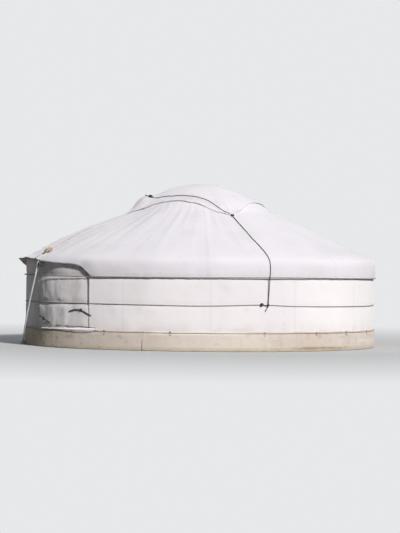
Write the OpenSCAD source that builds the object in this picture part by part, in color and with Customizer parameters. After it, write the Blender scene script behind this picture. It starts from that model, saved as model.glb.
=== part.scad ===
// A round felt-covered tent of the Mongolian ger kind, a yurt, with its door facing -Y.
// Lengths are millimetres and angles are degrees. Z = 0 is the ground.
// Azimuths run from the door, anticlockwise seen from above: a point stands at
// [r sin a, -r cos a]. The floor is bare ground, so the inside is open below.

/* [Walls] */
// Outer radius of the felt and canvas wall cover
wall_r = 3000; // [2400:10:3600]
// Height of the wall cover above the ground
wall_h = 1482; // [1300:1:1700]
// Thickness of the wall's felt together with its canvas
cover_t = 24; // [15:1:40]
// Azimuth of the wall cover's seam behind the left side
seam_left = -154; // [-165:1:-140]
// Azimuth of the wall cover's seam on the right side
seam_right = 80; // [60:1:120]

/* [Roof] */
// Slope of the roof over the poles
roof_slope = 23.4; // [18:0.1:28]
// Thickness of the roof's felt together with its canvas
roof_t = 25; // [15:1:40]
// Depth of the valance that hangs over the top of the wall
valance_h = 300; // [200:5:400]
// Width of the notch that the valance's lifted corners leave at the back seam
notch_w = 2540; // [1200:20:3000]
// Height of that notch above the valance's lower edge
notch_h = 258; // [100:2:270]
// Radius where the roof cover starts to rise over the crown wheel
flare_r = 1215; // [1100:5:1350]
// Radius of the shoulder that the roof cover makes over the top of the wall
shoulder_r = 110; // [60:5:140]
// Swell of the valance below the shoulder
swell = 6; // [0:1:12]

/* [Crown] */
// Outer radius of the crown wheel
wheel_r = 800; // [700:10:900]
// Radial width of the crown wheel's rim
wheel_w = 80; // [50:5:110]
// Height of the crown wheel's rim
wheel_h = 165; // [120:5:180]
// Rise of the spokes from the rim's top to their crossing
spoke_rise = 218; // [120:1:260]
// Width and depth of one spoke
spoke_w = 40; // [25:1:60]
// Radius of the small ring that ties the spokes together
hub_r = 310; // [200:10:400]
// Side of the square crown cover
crown_side = 2020; // [1800:10:2300]
// Thickness of the crown cover
crown_t = 20; // [8:1:30]
// Angle by which the crown cover and its ropes lie off square to the door
crown_turn = -3; // [-5:0.5:5]

/* [Skirt] */
// Height of the weathered skirt round the foot of the wall
skirt_h = 324; // [200:2:450]
// Thickness of the skirt
skirt_t = 26; // [12:1:40]
// Azimuth of the skirt's seam behind the left side
skirt_seam_a = -133; // [-140:1:-120]
// Azimuth of the skirt's seam on the left side
skirt_seam_b = -42; // [-60:1:-30]
// Azimuth of the skirt's seam on the right side
skirt_seam_c = 60; // [45:1:80]
// Azimuth of the skirt's seam behind the right side
skirt_seam_d = 140; // [120:1:160]

/* [Ropes] */
// Diameter of the girth ropes and the crown cover's ropes
rope_d = 14; // [8:1:20]
// Height of the middle girth rope
girth_mid_z = 744; // [600:2:900]
// Height of the upper girth rope, near the valance's lower edge
girth_top_z = 1197; // [1190:1:1260]

/* [Lattice] */
// Width of one lattice slat
slat_w = 32; // [20:1:45]
// Thickness of one lattice slat
slat_t = 12; // [8:1:16]
// Height of the lowest slat crossings
foot_h = 125; // [80:5:180]
// Number of lattice sections
sections = 5; // [5:1:5]
// Number of slat heads, one under each pole, in one section
heads = 11; // [7:1:12]
// Number of rows of slat crossings
rows = 8; // [5:1:8]

/* [Poles and posts] */
// Diameter of one roof pole
pole_d = 32; // [24:1:40]
// Number of poles that rest on the lintel
lintel_poles = 3; // [1:1:4]
// Side of the two crown posts
post_w = 70; // [50:1:100]
// Length of the capital on top of a crown post
capital_l = 300; // [200:10:400]

/* [Door] */
// Width of the door frame
frame_w = 950; // [800:10:1100]
// Depth of the door frame
frame_d = 130; // [100:5:160]
// Width of one door jamb
jamb_w = 70; // [50:5:90]
// Height of the threshold
sill_h = 100; // [60:5:140]
// Height of the lintel
lintel_h = 120; // [80:5:150]
// Thickness of the door leaf
leaf_t = 42; // [30:1:55]
// Width of the stiles and rails round the door's sunk panels
stile_w = 100; // [70:5:130]
// Depth of the sunk panels
recess = 8; // [4:1:14]
// Number of sunk panels, one above another
panels = 3; // [1:1:4]

/* [Hidden] */
// Seats keep this much air between pieces
gap = 0.3;
// Play round the closed door leaf
play = 3;
// Facet count of the true arcs
arc_fn = 240;
// Sides of a rope's and a pole's section
rope_sides = 8;
pole_sides = 8;

// Air between the roof cover and the top edge of the wall cover
ease = 6;
// Angle left open where two sheets meet at a seam
seam_gap = 0.01;
// The door frame stands this much proud of the valance
frame_proud = 2;
// Knees of the back notch, as shares of its width and its height
notch_knee = [0.236, 0.63];
// Share of its rise over the crown wheel that the roof cover has made at its bend
mid_rise = 0.58;
// Power of the dome's curve, and the part of the wheel's radius over which the spokes bend
dome_power = 2.3;
dome_part = 0.72;
// Azimuths of the back rope's turns, from the eave down to its knot
back_turns = [179.2, 178.6, 173.4, 172.8, 166.3, 164.4];
// Runs of rope carry on past their ends by this share of their diameter
rope_past = 0.3;
// Lift of a slanting run's start, for each degree that it slants
slant_lift = 0.6;

felt_in = wall_r - cover_t;
valance_in = wall_r + gap;
valance_out = valance_in + roof_t;
swell_r = valance_out + swell;
slope_t = tan(roof_slope);
roof_vt = roof_t / cos(roof_slope);
// Height of the corner where the roof's slope would meet the upright valance
eave_z = wall_h + ease + roof_vt - (swell_r - wall_r) * slope_t;
// Height of the roof cover's outer face at radius r on its straight slope
function slope_z(r) = eave_z + (swell_r - r) * slope_t;
valance_z = eave_z - valance_h;
shoulder_c = [swell_r - shoulder_r,
              slope_z(swell_r - shoulder_r * (1 - sin(roof_slope))) - shoulder_r * cos(roof_slope)];
// Azimuth step of the shoulder's arc, from upright to the slope
shoulder_step = (90 - roof_slope) / 5;

pole_in = wheel_r + gap;
pole_out = felt_in - 2 * gap;
pole_vr = pole_d / 2 / cos(roof_slope);
function pole_z(r) = slope_z(r) - roof_vt - pole_vr - gap;

// The poles enter the rim a little above its foot
wheel_bot = pole_z(wheel_r) - 2 * pole_vr;
wheel_top = wheel_bot + wheel_h;
wheel_in = wheel_r - wheel_w;
cover_in = wheel_r - wheel_w / 2;
flare_z = slope_z(flare_r);
rim_z = wheel_top + roof_vt + gap;
// The roof cover's bend between the poles and the rim
mid_r = (flare_r + cover_in) / 2 + spoke_w / 2;
mid_z = flare_z + mid_rise * (rim_z - flare_z);
// The rim's top falls outwards as the roof cover on it does
rim_fall = (wheel_r - cover_in) * (rim_z - mid_z) / (mid_r - cover_in);
apex_z = wheel_top + spoke_rise;
// Height of the dome that the spokes hold up, at radius r
function dome_z(r) = wheel_top + spoke_rise * (1 - pow(r / wheel_r, dome_power));
dome_rs = [for (k = [5 : -1 : 0]) dome_part * wheel_r * k / 5];

// Half-angle that the door frame takes out of the wall
door_a = asin(frame_w / 2 / wall_r);
// Azimuth behind the frame from which the sheets and ropes beside it are swept, then cut
door_start = 0.9 * door_a;
frame_y = valance_out + frame_proud;
frame_top = pole_z(pole_out) - pole_vr - gap;
lintel_z = frame_top - lintel_h;
stop_y = -frame_y + leaf_t + gap;
stop_d = frame_d - leaf_t - gap;
leaf_w = frame_w - 2 * jamb_w - 2 * play;
leaf_h = lintel_z - sill_h - 2 * play;
leaf_z = sill_h + play;
panel_h = (leaf_h - (panels + 1) * stile_w) / panels;

// Width of the strips that the closed leaf rests against
stop_w = 15;
// Width, height and thickness of a hinge plate, and the size of the pull handle
hinge = [100, 40, 4];
handle = [24, 28, 140];
handle_bar = 12;

lattice_r = felt_in - gap;
contact_r = lattice_r - slat_t;
lat_a0 = asin((frame_w / 2 + gap) / (contact_r - slat_t));
cols = 2 * heads;
col_a = (360 - 2 * lat_a0) / (sections * cols);
section_a = cols * col_a;
col_w = contact_r * col_a * PI / 180;
// Columns at which the slats bend from one flat facet to the next, between crossings
bends = [for (c = [1.5 : 3 : cols - 1]) c];
// Each section is made in two panels, which meet at an even column, where slats cross
split_c = 2 * floor(heads / 2);
split_gap = gap / col_w;
panel_bends = [concat([0], [for (c = bends) if (c < split_c) c], [split_c - split_gap]),
               concat([split_c + split_gap], [for (c = bends) if (c > split_c) c], [cols])];
// A pole rests in the fork over each crossing of the head row
slant = atan((pole_z(felt_in) - foot_h) / (rows - 1) / col_w);
head_z = pole_z(felt_in) - (pole_d + slat_w) / 2 / cos(slant) - gap;
row_h = (head_z - foot_h) / (rows - 1);
half_w = slat_w / 2 / cos(slant);
tip_z = slope_z(felt_in) - roof_vt - ease / 2;

skirt_in = wall_r + gap;
skirt_out = skirt_in + skirt_t;
// The low rope pinches the skirt in below its top edge
low_d = 10;
pinch = 9;
low_drop = 3 * low_d;
low_z = skirt_h - low_drop;
lie = rope_d / 2 + gap;
corner_r = crown_side / sqrt(2);
over_girth = valance_out + rope_d + gap + lie;
over_mid = wall_r + rope_d + gap + lie;
knot_d = 2 * rope_d;

// Turns a child drawn from the +X axis so that it starts at azimuth a
module at_azimuth(a) {
  rotate([0, 0, a - 90])
    children();
}

// Revolves a profile from azimuth a to azimuth b
module sweep(a, b) {
  at_azimuth(a)
    rotate_extrude(angle = b - a, $fn = arc_fn)
      children();
}

// The space that the door frame takes out of the round pieces, up to a height
module door_way(top) {
  translate([-frame_w / 2 - gap, -2 * wall_r, -1])
    cube([frame_w + 2 * gap, 2 * wall_r, top + 1]);
}

module wall_sheet(a, b) {
  color([0.93, 0.93, 0.91])
    difference() {
      sweep(a, b)
        translate([felt_in, 0])
          square([cover_t, wall_h]);
      door_way(wall_h + 1);
    }
}

roof_outer = concat([[valance_out, valance_z], [swell_r, valance_z + valance_h / 2]],
                    [for (i = [0 : 5])
                      shoulder_c + shoulder_r * [cos(i * shoulder_step), sin(i * shoulder_step)]],
                    [[flare_r, flare_z], [mid_r, mid_z], [cover_in, rim_z]]);
roof_inner = [[cover_in, rim_z - roof_vt], [mid_r, mid_z - roof_vt], [flare_r, flare_z - roof_vt],
              [valance_in, slope_z(valance_in) - roof_vt], [valance_in, valance_z]];

// The space under the corners of the two halves, lifted where they meet at the back
module back_notch() {
  translate([0, 2 * wall_r, valance_z])
    rotate([90, 0, 0])
      linear_extrude(height = 1.2 * wall_r)
        polygon([[-notch_w / 2, -1], [-notch_knee[0] * notch_w, notch_knee[1] * notch_h], [0, notch_h],
                 [notch_knee[0] * notch_w, notch_knee[1] * notch_h], [notch_w / 2, -1]]);
}

module roof_half(a, b) {
  color([0.9, 0.9, 0.91])
    difference() {
      sweep(a, b)
        polygon(concat(roof_outer, roof_inner));
      back_notch();
      door_way(frame_top + gap);
    }
}

// The crown cover's underside lies on the roof cover and then on the dome of the spokes
crown_under = concat([[corner_r, slope_z(corner_r) + gap], [flare_r, flare_z + gap], [mid_r, mid_z + gap],
                      [cover_in, rim_z + gap]], [for (r = dome_rs) [r, dome_z(r) + gap]]);

module crown_cover() {
  n = len(crown_under);
  color([0.88, 0.88, 0.9])
    intersection() {
      rotate_extrude($fn = arc_fn)
        polygon(concat(crown_under, [for (i = [n - 1 : -1 : 0]) crown_under[i] + [0, crown_t]]));
      rotate([0, 0, 45 + crown_turn])
        translate([-crown_side / 2, -crown_side / 2, 0])
          cube([crown_side, crown_side, 2 * apex_z]);
    }
}

module skirt_panel(a, b) {
  color([0.8, 0.74, 0.68])
    difference() {
      sweep(a, b)
        polygon([[skirt_in, 0], [skirt_out, 0], [skirt_out, low_z - low_drop], [skirt_out - pinch, low_z],
                 [skirt_out - pinch / 3, skirt_h], [skirt_in, skirt_h]]);
      door_way(skirt_h + 1);
    }
}

module girth_rope(r, z, d) {
  color([0.8, 0.76, 0.66])
    difference() {
      sweep(door_start, 360 - door_start)
        translate([r + d / 2 + gap, z])
          circle(d = d, $fn = rope_sides);
      door_way(z + 2 * d);
    }
}

// A straight run of rope between two points, carried on a little past both
module run(p, q, d, past) {
  v = q - p;
  l = norm(v);
  translate(p)
    rotate([0, acos(v[2] / l), atan2(v[1], v[0])])
      translate([0, 0, -past])
        cylinder(h = l + 2 * past, d = d, $fn = rope_sides);
}

// A point at azimuth a, radius r and height z
function at(a, r, z) = [r * sin(a), -r * cos(a), z];

module rope_along(pts, d) {
  for (i = [0 : len(pts) - 2])
    run(pts[i], pts[i + 1], d, d * rope_past);
}

// A rope's height over the roof's slope at radius r
function lay_z(r) = slope_z(r) + lie / cos(roof_slope);

// The bend over the shoulder in two runs, far enough out that they clear its arc
half_bend = (90 - roof_slope) / 2;
bend_r = (shoulder_r + lie) / cos(half_bend / 2);
function shoulder_pt(a, k) = at(a, shoulder_c[0] + bend_r * cos(k * half_bend),
                                shoulder_c[1] + bend_r * sin(k * half_bend));

// From a corner of the crown cover at azimuth a down the slope to the front of the shoulder at
// azimuth b. A run that slants over the cone starts higher, so that its middle clears the cone.
rope_r = corner_r + rope_d;
function slope_run(a, b) = concat([at(a, rope_r, lay_z(rope_r) + slant_lift * abs(b - a))],
                                  [for (k = [2 : -1 : 0]) shoulder_pt(b, k)]);

module knot(p) {
  translate(p)
    cylinder(h = knot_d, d = knot_d, center = true, $fn = rope_sides);
}

// A side rope hangs straight down and is tied at the middle girth rope
module crown_rope_side(a) {
  end = at(a, over_mid, girth_mid_z - knot_d);
  color([0.2, 0.18, 0.16])
    union() {
      rope_along(concat(slope_run(a, a), [at(a, over_girth, girth_top_z), at(a, over_mid, girth_mid_z), end]),
                 rope_d);
      knot(at(a, wall_r + rope_d + 2 * gap + knot_d / 2, girth_mid_z));
    }
}

// The front rope ends in a knot on the lintel
module crown_rope_front() {
  front = frame_y + gap + knot_d / 2;
  end = [front * tan(crown_turn), -front, frame_top - 2 * knot_d];
  color([0.2, 0.18, 0.16])
    union() {
      rope_along(concat(slope_run(crown_turn, crown_turn), [end]), rope_d);
      knot(end);
    }
}

// The back rope turns aside under the eave and runs slantwise to the foot of the skirt
module crown_rope_back() {
  end = at(back_turns[5], skirt_out + gap + knot_d / 2, knot_d);
  color([0.78, 0.74, 0.66])
    union() {
      rope_along(concat(slope_run(180 + crown_turn, 180),
                        [at(back_turns[0], over_girth + gap, girth_top_z + rope_d),
                         at(back_turns[1], over_girth + gap, girth_top_z - rope_d),
                         at(back_turns[2], over_mid + gap, girth_mid_z + rope_d),
                         at(back_turns[3], over_mid + gap, girth_mid_z - rope_d),
                         at(back_turns[4], skirt_out + low_d + lie, low_z), end]), rope_d);
      knot(end);
    }
}

// The threshold or the lintel, with its strip on the side of the opening
module door_beam(z, h, stop_z) {
  color([0.62, 0.38, 0.2])
    union() {
      translate([-frame_w / 2, -frame_y, z])
        cube([frame_w, frame_d, h]);
      translate([-frame_w / 2 + jamb_w + stop_w + gap, stop_y, stop_z])
        cube([frame_w - 2 * (jamb_w + stop_w + gap), stop_d, stop_w]);
    }
}

module door_jamb(side) {
  x = side > 0 ? frame_w / 2 - jamb_w : -frame_w / 2;
  stop_x = side > 0 ? x - stop_w : x + jamb_w;
  color([0.62, 0.38, 0.2])
    translate([0, 0, sill_h + gap])
      union() {
        translate([x, -frame_y, 0])
          cube([jamb_w, frame_d, lintel_z - sill_h - 2 * gap]);
        translate([stop_x, stop_y, 0])
          cube([stop_w, stop_d, lintel_z - sill_h - 2 * gap]);
      }
}

module door_leaf() {
  color([0.75, 0.35, 0.12])
    difference() {
      translate([-leaf_w / 2, -frame_y, leaf_z])
        cube([leaf_w, leaf_t, leaf_h]);
      for (i = [0 : panels - 1])
        translate([-leaf_w / 2 + stile_w, -frame_y - recess, leaf_z + stile_w + i * (panel_h + stile_w)])
          cube([leaf_w - 2 * stile_w, 2 * recess, panel_h]);
    }
}

module door_hinges() {
  color([0.25, 0.24, 0.23])
    for (z = [leaf_z + 2 * stile_w, leaf_z + leaf_h - 2 * stile_w])
      translate([(leaf_w + play - hinge[0]) / 2, -frame_y - gap - hinge[2], z])
        cube([hinge[0], hinge[2], hinge[1]]);
}

module door_handle() {
  color([0.25, 0.24, 0.23])
    translate([-leaf_w / 2 + stile_w / 2, -frame_y - gap, leaf_z + leaf_h / 2])
      difference() {
        translate([-handle[0] / 2, -handle[1], -handle[2] / 2])
          cube(handle);
        translate([-handle[0], handle_bar - handle[1], handle_bar - handle[2] / 2])
          cube([2 * handle[0], handle[1], handle[2] - 2 * handle_bar]);
      }
}

// Unit direction of a column, from the middle of its section
function column_dir(c) = [sin((c - cols / 2) * col_a), -cos((c - cols / 2) * col_a)];

// Corners of one edge of a slat, which meets the head row at column k. Heads are at odd columns.
function slat_edge(cs, k, lean, side) = [for (c = cs)
    [contact_r * column_dir(c)[0], head_z - lean * (k - c) * row_h + side * half_w]];

// One layer of parallel slats in one panel, bent to the flat facets between two radii
module slats(half, lean, r_in, r_out) {
  cs = panel_bends[half];
  n = len(cs);
  head = half == 0 ? 1 : split_c + 1;
  end = half == 0 ? split_c : cols;
  first = lean > 0 ? head : head - 2 * ceil(rows / 2);
  last = lean > 0 ? end + rows : end;
  intersection() {
    linear_extrude(height = tip_z)
      polygon(concat([for (c = cs) r_out * column_dir(c)],
                     [for (i = [n - 1 : -1 : 0]) r_in * column_dir(cs[i])]));
    rotate([90, 0, 0])
      linear_extrude(height = 2 * r_out)
        for (k = [first : 2 : last])
          polygon(concat(slat_edge(cs, k, lean, -1),
                         [for (i = [n - 1 : -1 : 0]) slat_edge(cs, k, lean, 1)[i]]));
  }
}

// One panel of section i: half 0 or half 1
module lattice(i, half) {
  color([0.68, 0.42, 0.22])
    rotate([0, 0, lat_a0 + (i + 0.5) * section_a])
      union() {
        slats(half, 1, contact_r, lattice_r);
        slats(half, -1, contact_r - slat_t, contact_r);
      }
}

module wheel_rim() {
  color([0.7, 0.33, 0.14])
    rotate_extrude($fn = arc_fn)
      polygon([[wheel_in, wheel_bot + wheel_w / 4], [wheel_in + wheel_w / 4, wheel_bot], [wheel_r, wheel_bot],
               [wheel_r, wheel_top - rim_fall], [cover_in, wheel_top], [wheel_in, wheel_top]]);
}

spoke_top = concat([[wheel_in - gap, wheel_top - gap]], [for (r = dome_rs) [r, dome_z(r) - gap]]);
spoke_d = 1.1 * spoke_w;

// Four bars bent across the wheel make the eight spokes
module wheel_spokes() {
  n = len(spoke_top);
  upper = concat(spoke_top, [for (i = [n - 2 : -1 : 0]) [-spoke_top[i][0], spoke_top[i][1]]]);
  color([0.7, 0.33, 0.14])
    union() {
      for (a = [0 : 45 : 135])
        rotate([90, 0, a + 22.5])
          translate([0, 0, -spoke_w / 2])
            linear_extrude(height = spoke_w)
              polygon(concat(upper, [for (i = [len(upper) - 1 : -1 : 0]) upper[i] - [0, spoke_d]]));
      rotate_extrude($fn = arc_fn)
        translate([hub_r - spoke_w / 2, dome_z(hub_r) - spoke_d])
          square([spoke_w, 0.8 * spoke_d]);
    }
}

module pole(a) {
  rotate([0, 0, a - 90])
    intersection() {
      translate([0, 0, pole_z(0)])
        rotate([0, 90 + roof_slope, 0])
          rotate([0, 0, 180 / pole_sides])
            cylinder(h = 2 * wall_r, d = pole_d, $fn = pole_sides);
      translate([pole_in, -pole_d, 0])
        cube([pole_out - pole_in, 2 * pole_d, 2 * apex_z]);
    }
}

module roof_poles(i) {
  color([0.72, 0.36, 0.15])
    for (k = [0 : heads - 1])
      pole(lat_a0 + i * section_a + (2 * k + 1) * col_a);
}

module lintel_pole_set() {
  step = 2 * lat_a0 / lintel_poles;
  color([0.72, 0.36, 0.15])
    for (k = [0 : lintel_poles - 1])
      pole((k + 0.5) * step - lat_a0);
}

// A post with a foot, and a capital that spreads along the rim
module crown_post(side) {
  top = wheel_bot - gap;
  foot = post_w / 3;
  cap_h = 1.8 * post_w;
  knee_z = top - cap_h * 0.45;
  color([0.7, 0.33, 0.14])
    translate([side * (wheel_r - wheel_w / 2), 0, 0])
      union() {
        translate([-post_w / 2, -post_w / 2, 0])
          cube([post_w, post_w, top]);
        translate([-post_w / 2 - foot, -post_w / 2 - foot, 0])
          cube([post_w + 2 * foot, post_w + 2 * foot, post_w]);
        rotate([90, 0, 90])
          translate([0, 0, -wheel_w / 2])
            linear_extrude(height = wheel_w)
              polygon([[-capital_l / 2, top], [-capital_l / 2, top - cap_h / 3], [-capital_l / 3, knee_z],
                       [-post_w / 2, top - cap_h], [post_w / 2, top - cap_h], [capital_l / 3, knee_z],
                       [capital_l / 2, top - cap_h / 3], [capital_l / 2, top]]);
      }
}

wall_sheet(seam_left, -door_start);  // wall_cover_left
wall_sheet(seam_right, 360 + seam_left - seam_gap);  // wall_cover_back
wall_sheet(door_start, seam_right - seam_gap);  // wall_cover_right
roof_half(-180, -seam_gap);  // roof_cover_left
roof_half(0, 180 - seam_gap);  // roof_cover_right
crown_cover();
skirt_panel(skirt_seam_b, -door_start);  // skirt_1
skirt_panel(skirt_seam_a, skirt_seam_b - seam_gap);  // skirt_2
skirt_panel(skirt_seam_d, 360 + skirt_seam_a - seam_gap);  // skirt_3
skirt_panel(skirt_seam_c, skirt_seam_d - seam_gap);  // skirt_4
skirt_panel(door_start, skirt_seam_c - seam_gap);  // skirt_5
girth_rope(valance_out, girth_top_z, rope_d);  // girth_rope_top
girth_rope(wall_r, girth_mid_z, rope_d);  // girth_rope_middle
girth_rope(skirt_out - pinch, low_z, low_d);  // girth_rope_low
crown_rope_front();
crown_rope_side(crown_turn - 90);  // crown_rope_left
crown_rope_side(crown_turn + 90);  // crown_rope_right
crown_rope_back();
door_beam(0, sill_h, sill_h);  // door_threshold
door_beam(lintel_z, lintel_h, lintel_z - stop_w);  // door_lintel
door_jamb(-1);  // door_jamb_left
door_jamb(1);  // door_jamb_right
door_leaf();
door_hinges();
door_handle();
lattice(0, 0);  // lattice_1a
lattice(0, 1);  // lattice_1b
lattice(1, 0);  // lattice_2a
lattice(1, 1);  // lattice_2b
lattice(2, 0);  // lattice_3a
lattice(2, 1);  // lattice_3b
lattice(3, 0);  // lattice_4a
lattice(3, 1);  // lattice_4b
lattice(4, 0);  // lattice_5a
lattice(4, 1);  // lattice_5b
wheel_rim();  // crown_wheel_rim
wheel_spokes();  // crown_wheel_spokes
roof_poles(0);  // roof_poles_1
roof_poles(1);  // roof_poles_2
roof_poles(2);  // roof_poles_3
roof_poles(3);  // roof_poles_4
roof_poles(4);  // roof_poles_5
lintel_pole_set();  // roof_poles_door
crown_post(-1);  // crown_post_left
crown_post(1);  // crown_post_right
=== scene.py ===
import math

import bmesh
import bpy
import numpy as np
from mathutils import Matrix, Vector


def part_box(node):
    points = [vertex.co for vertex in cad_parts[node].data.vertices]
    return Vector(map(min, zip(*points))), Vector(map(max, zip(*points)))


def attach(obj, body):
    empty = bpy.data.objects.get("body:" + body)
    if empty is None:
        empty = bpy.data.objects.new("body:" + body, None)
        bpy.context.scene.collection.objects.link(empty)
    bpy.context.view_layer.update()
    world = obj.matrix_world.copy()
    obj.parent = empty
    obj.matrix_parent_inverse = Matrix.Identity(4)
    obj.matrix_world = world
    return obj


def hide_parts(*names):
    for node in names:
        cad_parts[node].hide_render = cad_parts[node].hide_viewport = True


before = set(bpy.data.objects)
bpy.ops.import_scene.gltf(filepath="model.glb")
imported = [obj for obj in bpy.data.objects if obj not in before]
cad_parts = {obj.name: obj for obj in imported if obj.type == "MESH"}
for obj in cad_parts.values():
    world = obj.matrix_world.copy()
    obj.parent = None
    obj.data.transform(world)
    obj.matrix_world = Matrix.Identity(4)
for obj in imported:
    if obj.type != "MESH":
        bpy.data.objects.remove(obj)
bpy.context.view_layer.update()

SC = bpy.context.scene
rad, deg = np.radians, np.degrees

# Sizes of the model, in metres and degrees. Azimuths run from the door, anticlockwise from above.
WALL_R, WALL_H = 3.0, 1.482
FRAME_Y, JAMB_W = 3.0273, 0.07
DOOR_A = math.degrees(math.asin(0.4753 / 3.0))
SLOPE = math.tan(rad(23.4))
EAVE_R, EAVE_Z = 3.0313, 1.5017
SEAM_L, SEAM_R = -154.0, 80.0
GIRTH_TOP, GIRTH_MID, GIRTH_LOW = 1.197, 0.744, 0.294
WHEEL_TOP, WHEEL_R = 2.5524, 0.8
CROWN_TURN, CROWN_SIDE = -3.0, 2.014
# The camera's azimuth, distance, height, aim, roll and focal length in pixels
CAM_AZ, CAM_AWAY, CAM_UP, CAM_AIM, CAM_ROLL, CAM_FOCAL = -115.0, 44, 1.6, 1.36, 0.6, 2535.0
BACKDROP = (0.8, 0.81, 0.82, 1)


def slope_z(r):
    """Height of the roof's plain slope."""
    return EAVE_Z + (EAVE_R - r) * SLOPE


def at(a, r, z):
    """Points at azimuths, radii and heights."""
    a, r, z = np.broadcast_arrays(rad(np.asarray(a, float)), np.asarray(r, float), np.asarray(z, float))
    return np.stack([r * np.sin(a), -r * np.cos(a), z], -1)


def add_node(nt, kind, ins=None, **attrs):
    """A new shader node. Inputs given as sockets are linked, and the others are set."""
    n = nt.nodes.new(kind)
    for k, v in attrs.items():
        setattr(n, k, v)
    for k, v in (ins or {}).items():
        if isinstance(v, bpy.types.NodeSocket):
            nt.links.new(v, n.inputs[k])
        else:
            n.inputs[k].default_value = v
    return n


# ---- camera and light

def set_camera():
    """The camera stands where the photo's did. A longer lens crops its view to the yurt."""
    cam = bpy.data.cameras.new("camera")
    ob = bpy.data.objects.new("camera", cam)
    SC.collection.objects.link(ob)
    pos = Vector((CAM_AWAY * math.sin(rad(CAM_AZ)), -CAM_AWAY * math.cos(rad(CAM_AZ)), CAM_UP))
    aim = Vector((0, 0, CAM_AIM))
    look = (aim - pos).to_track_quat("-Z", "Y").to_matrix().to_4x4()
    ob.matrix_world = Matrix.Translation(pos) @ look @ Matrix.Rotation(rad(CAM_ROLL), 4, "Z")
    cam.sensor_fit = "HORIZONTAL"
    cam.sensor_width = 36.0
    cam.lens = CAM_FOCAL * 36.0 / 400.0
    cam.clip_start, cam.clip_end = 0.5, 400.0
    SC.camera = ob


def set_light():
    """A soft key lamp, and a sky that is brighter on the side away from the camera."""
    world = bpy.data.worlds.new("studio")
    SC.world = world
    world.use_nodes = True
    nt = world.node_tree
    nt.nodes.clear()
    away = (math.sin(rad(CAM_AZ + 180)), -math.cos(rad(CAM_AZ + 180)), 0.1)
    dot = add_node(nt, "ShaderNodeVectorMath", {0: add_node(nt, "ShaderNodeTexCoord").outputs["Generated"], 1: away},
                   operation="DOT_PRODUCT")
    glow = add_node(nt, "ShaderNodeMapRange", {"Value": dot.outputs["Value"], "From Min": 0.05, "From Max": 1.0,
                                               "To Min": 0.1, "To Max": 0.75})
    lit = add_node(nt, "ShaderNodeBackground", {"Color": (0.9, 0.95, 1.0, 1), "Strength": glow.outputs["Result"]})
    seen = add_node(nt, "ShaderNodeBackground", {"Color": BACKDROP, "Strength": 1.0})
    camera = add_node(nt, "ShaderNodeLightPath").outputs["Is Camera Ray"]
    mix = add_node(nt, "ShaderNodeMixShader", {0: camera, 1: lit.outputs[0], 2: seen.outputs[0]})
    add_node(nt, "ShaderNodeOutputWorld", {0: mix.outputs[0]})
    lamp = bpy.data.lights.new("key", "SUN")
    lamp.energy, lamp.angle, lamp.color = 3.5, rad(5), (1.0, 0.985, 0.965)
    ob = bpy.data.objects.new("key", lamp)
    az, el = rad(CAM_AZ + 26), rad(27)
    d = Vector((math.sin(az) * math.cos(el), -math.cos(az) * math.cos(el), math.sin(el)))
    ob.matrix_world = Matrix.Translation(d * 20) @ d.to_track_quat("Z", "Y").to_matrix().to_4x4()
    SC.collection.objects.link(ob)
    SC.view_settings.view_transform = "Standard"


# ---- numbers that vary smoothly

def vnoise(x, y, seed):
    """Smooth noise between -1 and 1."""
    g = np.random.RandomState(seed).uniform(-1, 1, (97, 89))
    x, y = np.broadcast_arrays(np.asarray(x, float), np.asarray(y, float))
    xi, yi = np.floor(x).astype(int), np.floor(y).astype(int)
    fx, fy = x - xi, y - yi
    fx, fy = fx * fx * (3 - 2 * fx), fy * fy * (3 - 2 * fy)
    a, b = g[xi % 97, yi % 89], g[(xi + 1) % 97, yi % 89]
    c, d = g[xi % 97, (yi + 1) % 89], g[(xi + 1) % 97, (yi + 1) % 89]
    return (a * (1 - fx) + b * fx) * (1 - fy) + (c * (1 - fx) + d * fx) * fy


def fbm(x, y, seed, octaves=3):
    """Smooth noise in octaves, each half as strong as the last."""
    total = 0
    for o in range(octaves):
        total = total + vnoise(x * 2 ** o + 7.3 * o, y * 2 ** o + 3.1 * o, seed + o) * 0.5 ** o
    return total


def bump_at(x, centre, width):
    return np.exp(-((x - centre) / width) ** 2)


def step(x, lo, hi):
    """A smooth rise from 0 at lo to 1 at hi."""
    t = np.clip((x - lo) / (hi - lo), 0, 1)
    return t * t * (3 - 2 * t)


def eased(q, soft):
    """A row of points with its corners eased."""
    k = np.hanning(soft + 2)[1:-1]
    k /= k.sum()
    pad = soft // 2
    e = np.concatenate([2 * q[0] - q[1:pad + 1][::-1], q, 2 * q[-1] - q[-pad - 1:-1][::-1]])
    return np.stack([np.convolve(c, k, "valid") for c in e.T], -1)


def path_table(points, n, soft):
    """Evenly spaced points along a broken line with eased corners, and how far along it each lies."""
    p = np.array(points, float)
    d = np.r_[0, np.cumsum(np.hypot(*np.diff(p, axis=0).T))]
    s = np.linspace(0, d[-1], n)
    q = eased(np.stack([np.interp(s, d, p[:, 0]), np.interp(s, d, p[:, 1])], -1), soft)
    return np.r_[0, np.cumsum(np.hypot(*np.diff(q, axis=0).T))], q


# ---- meshes

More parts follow.
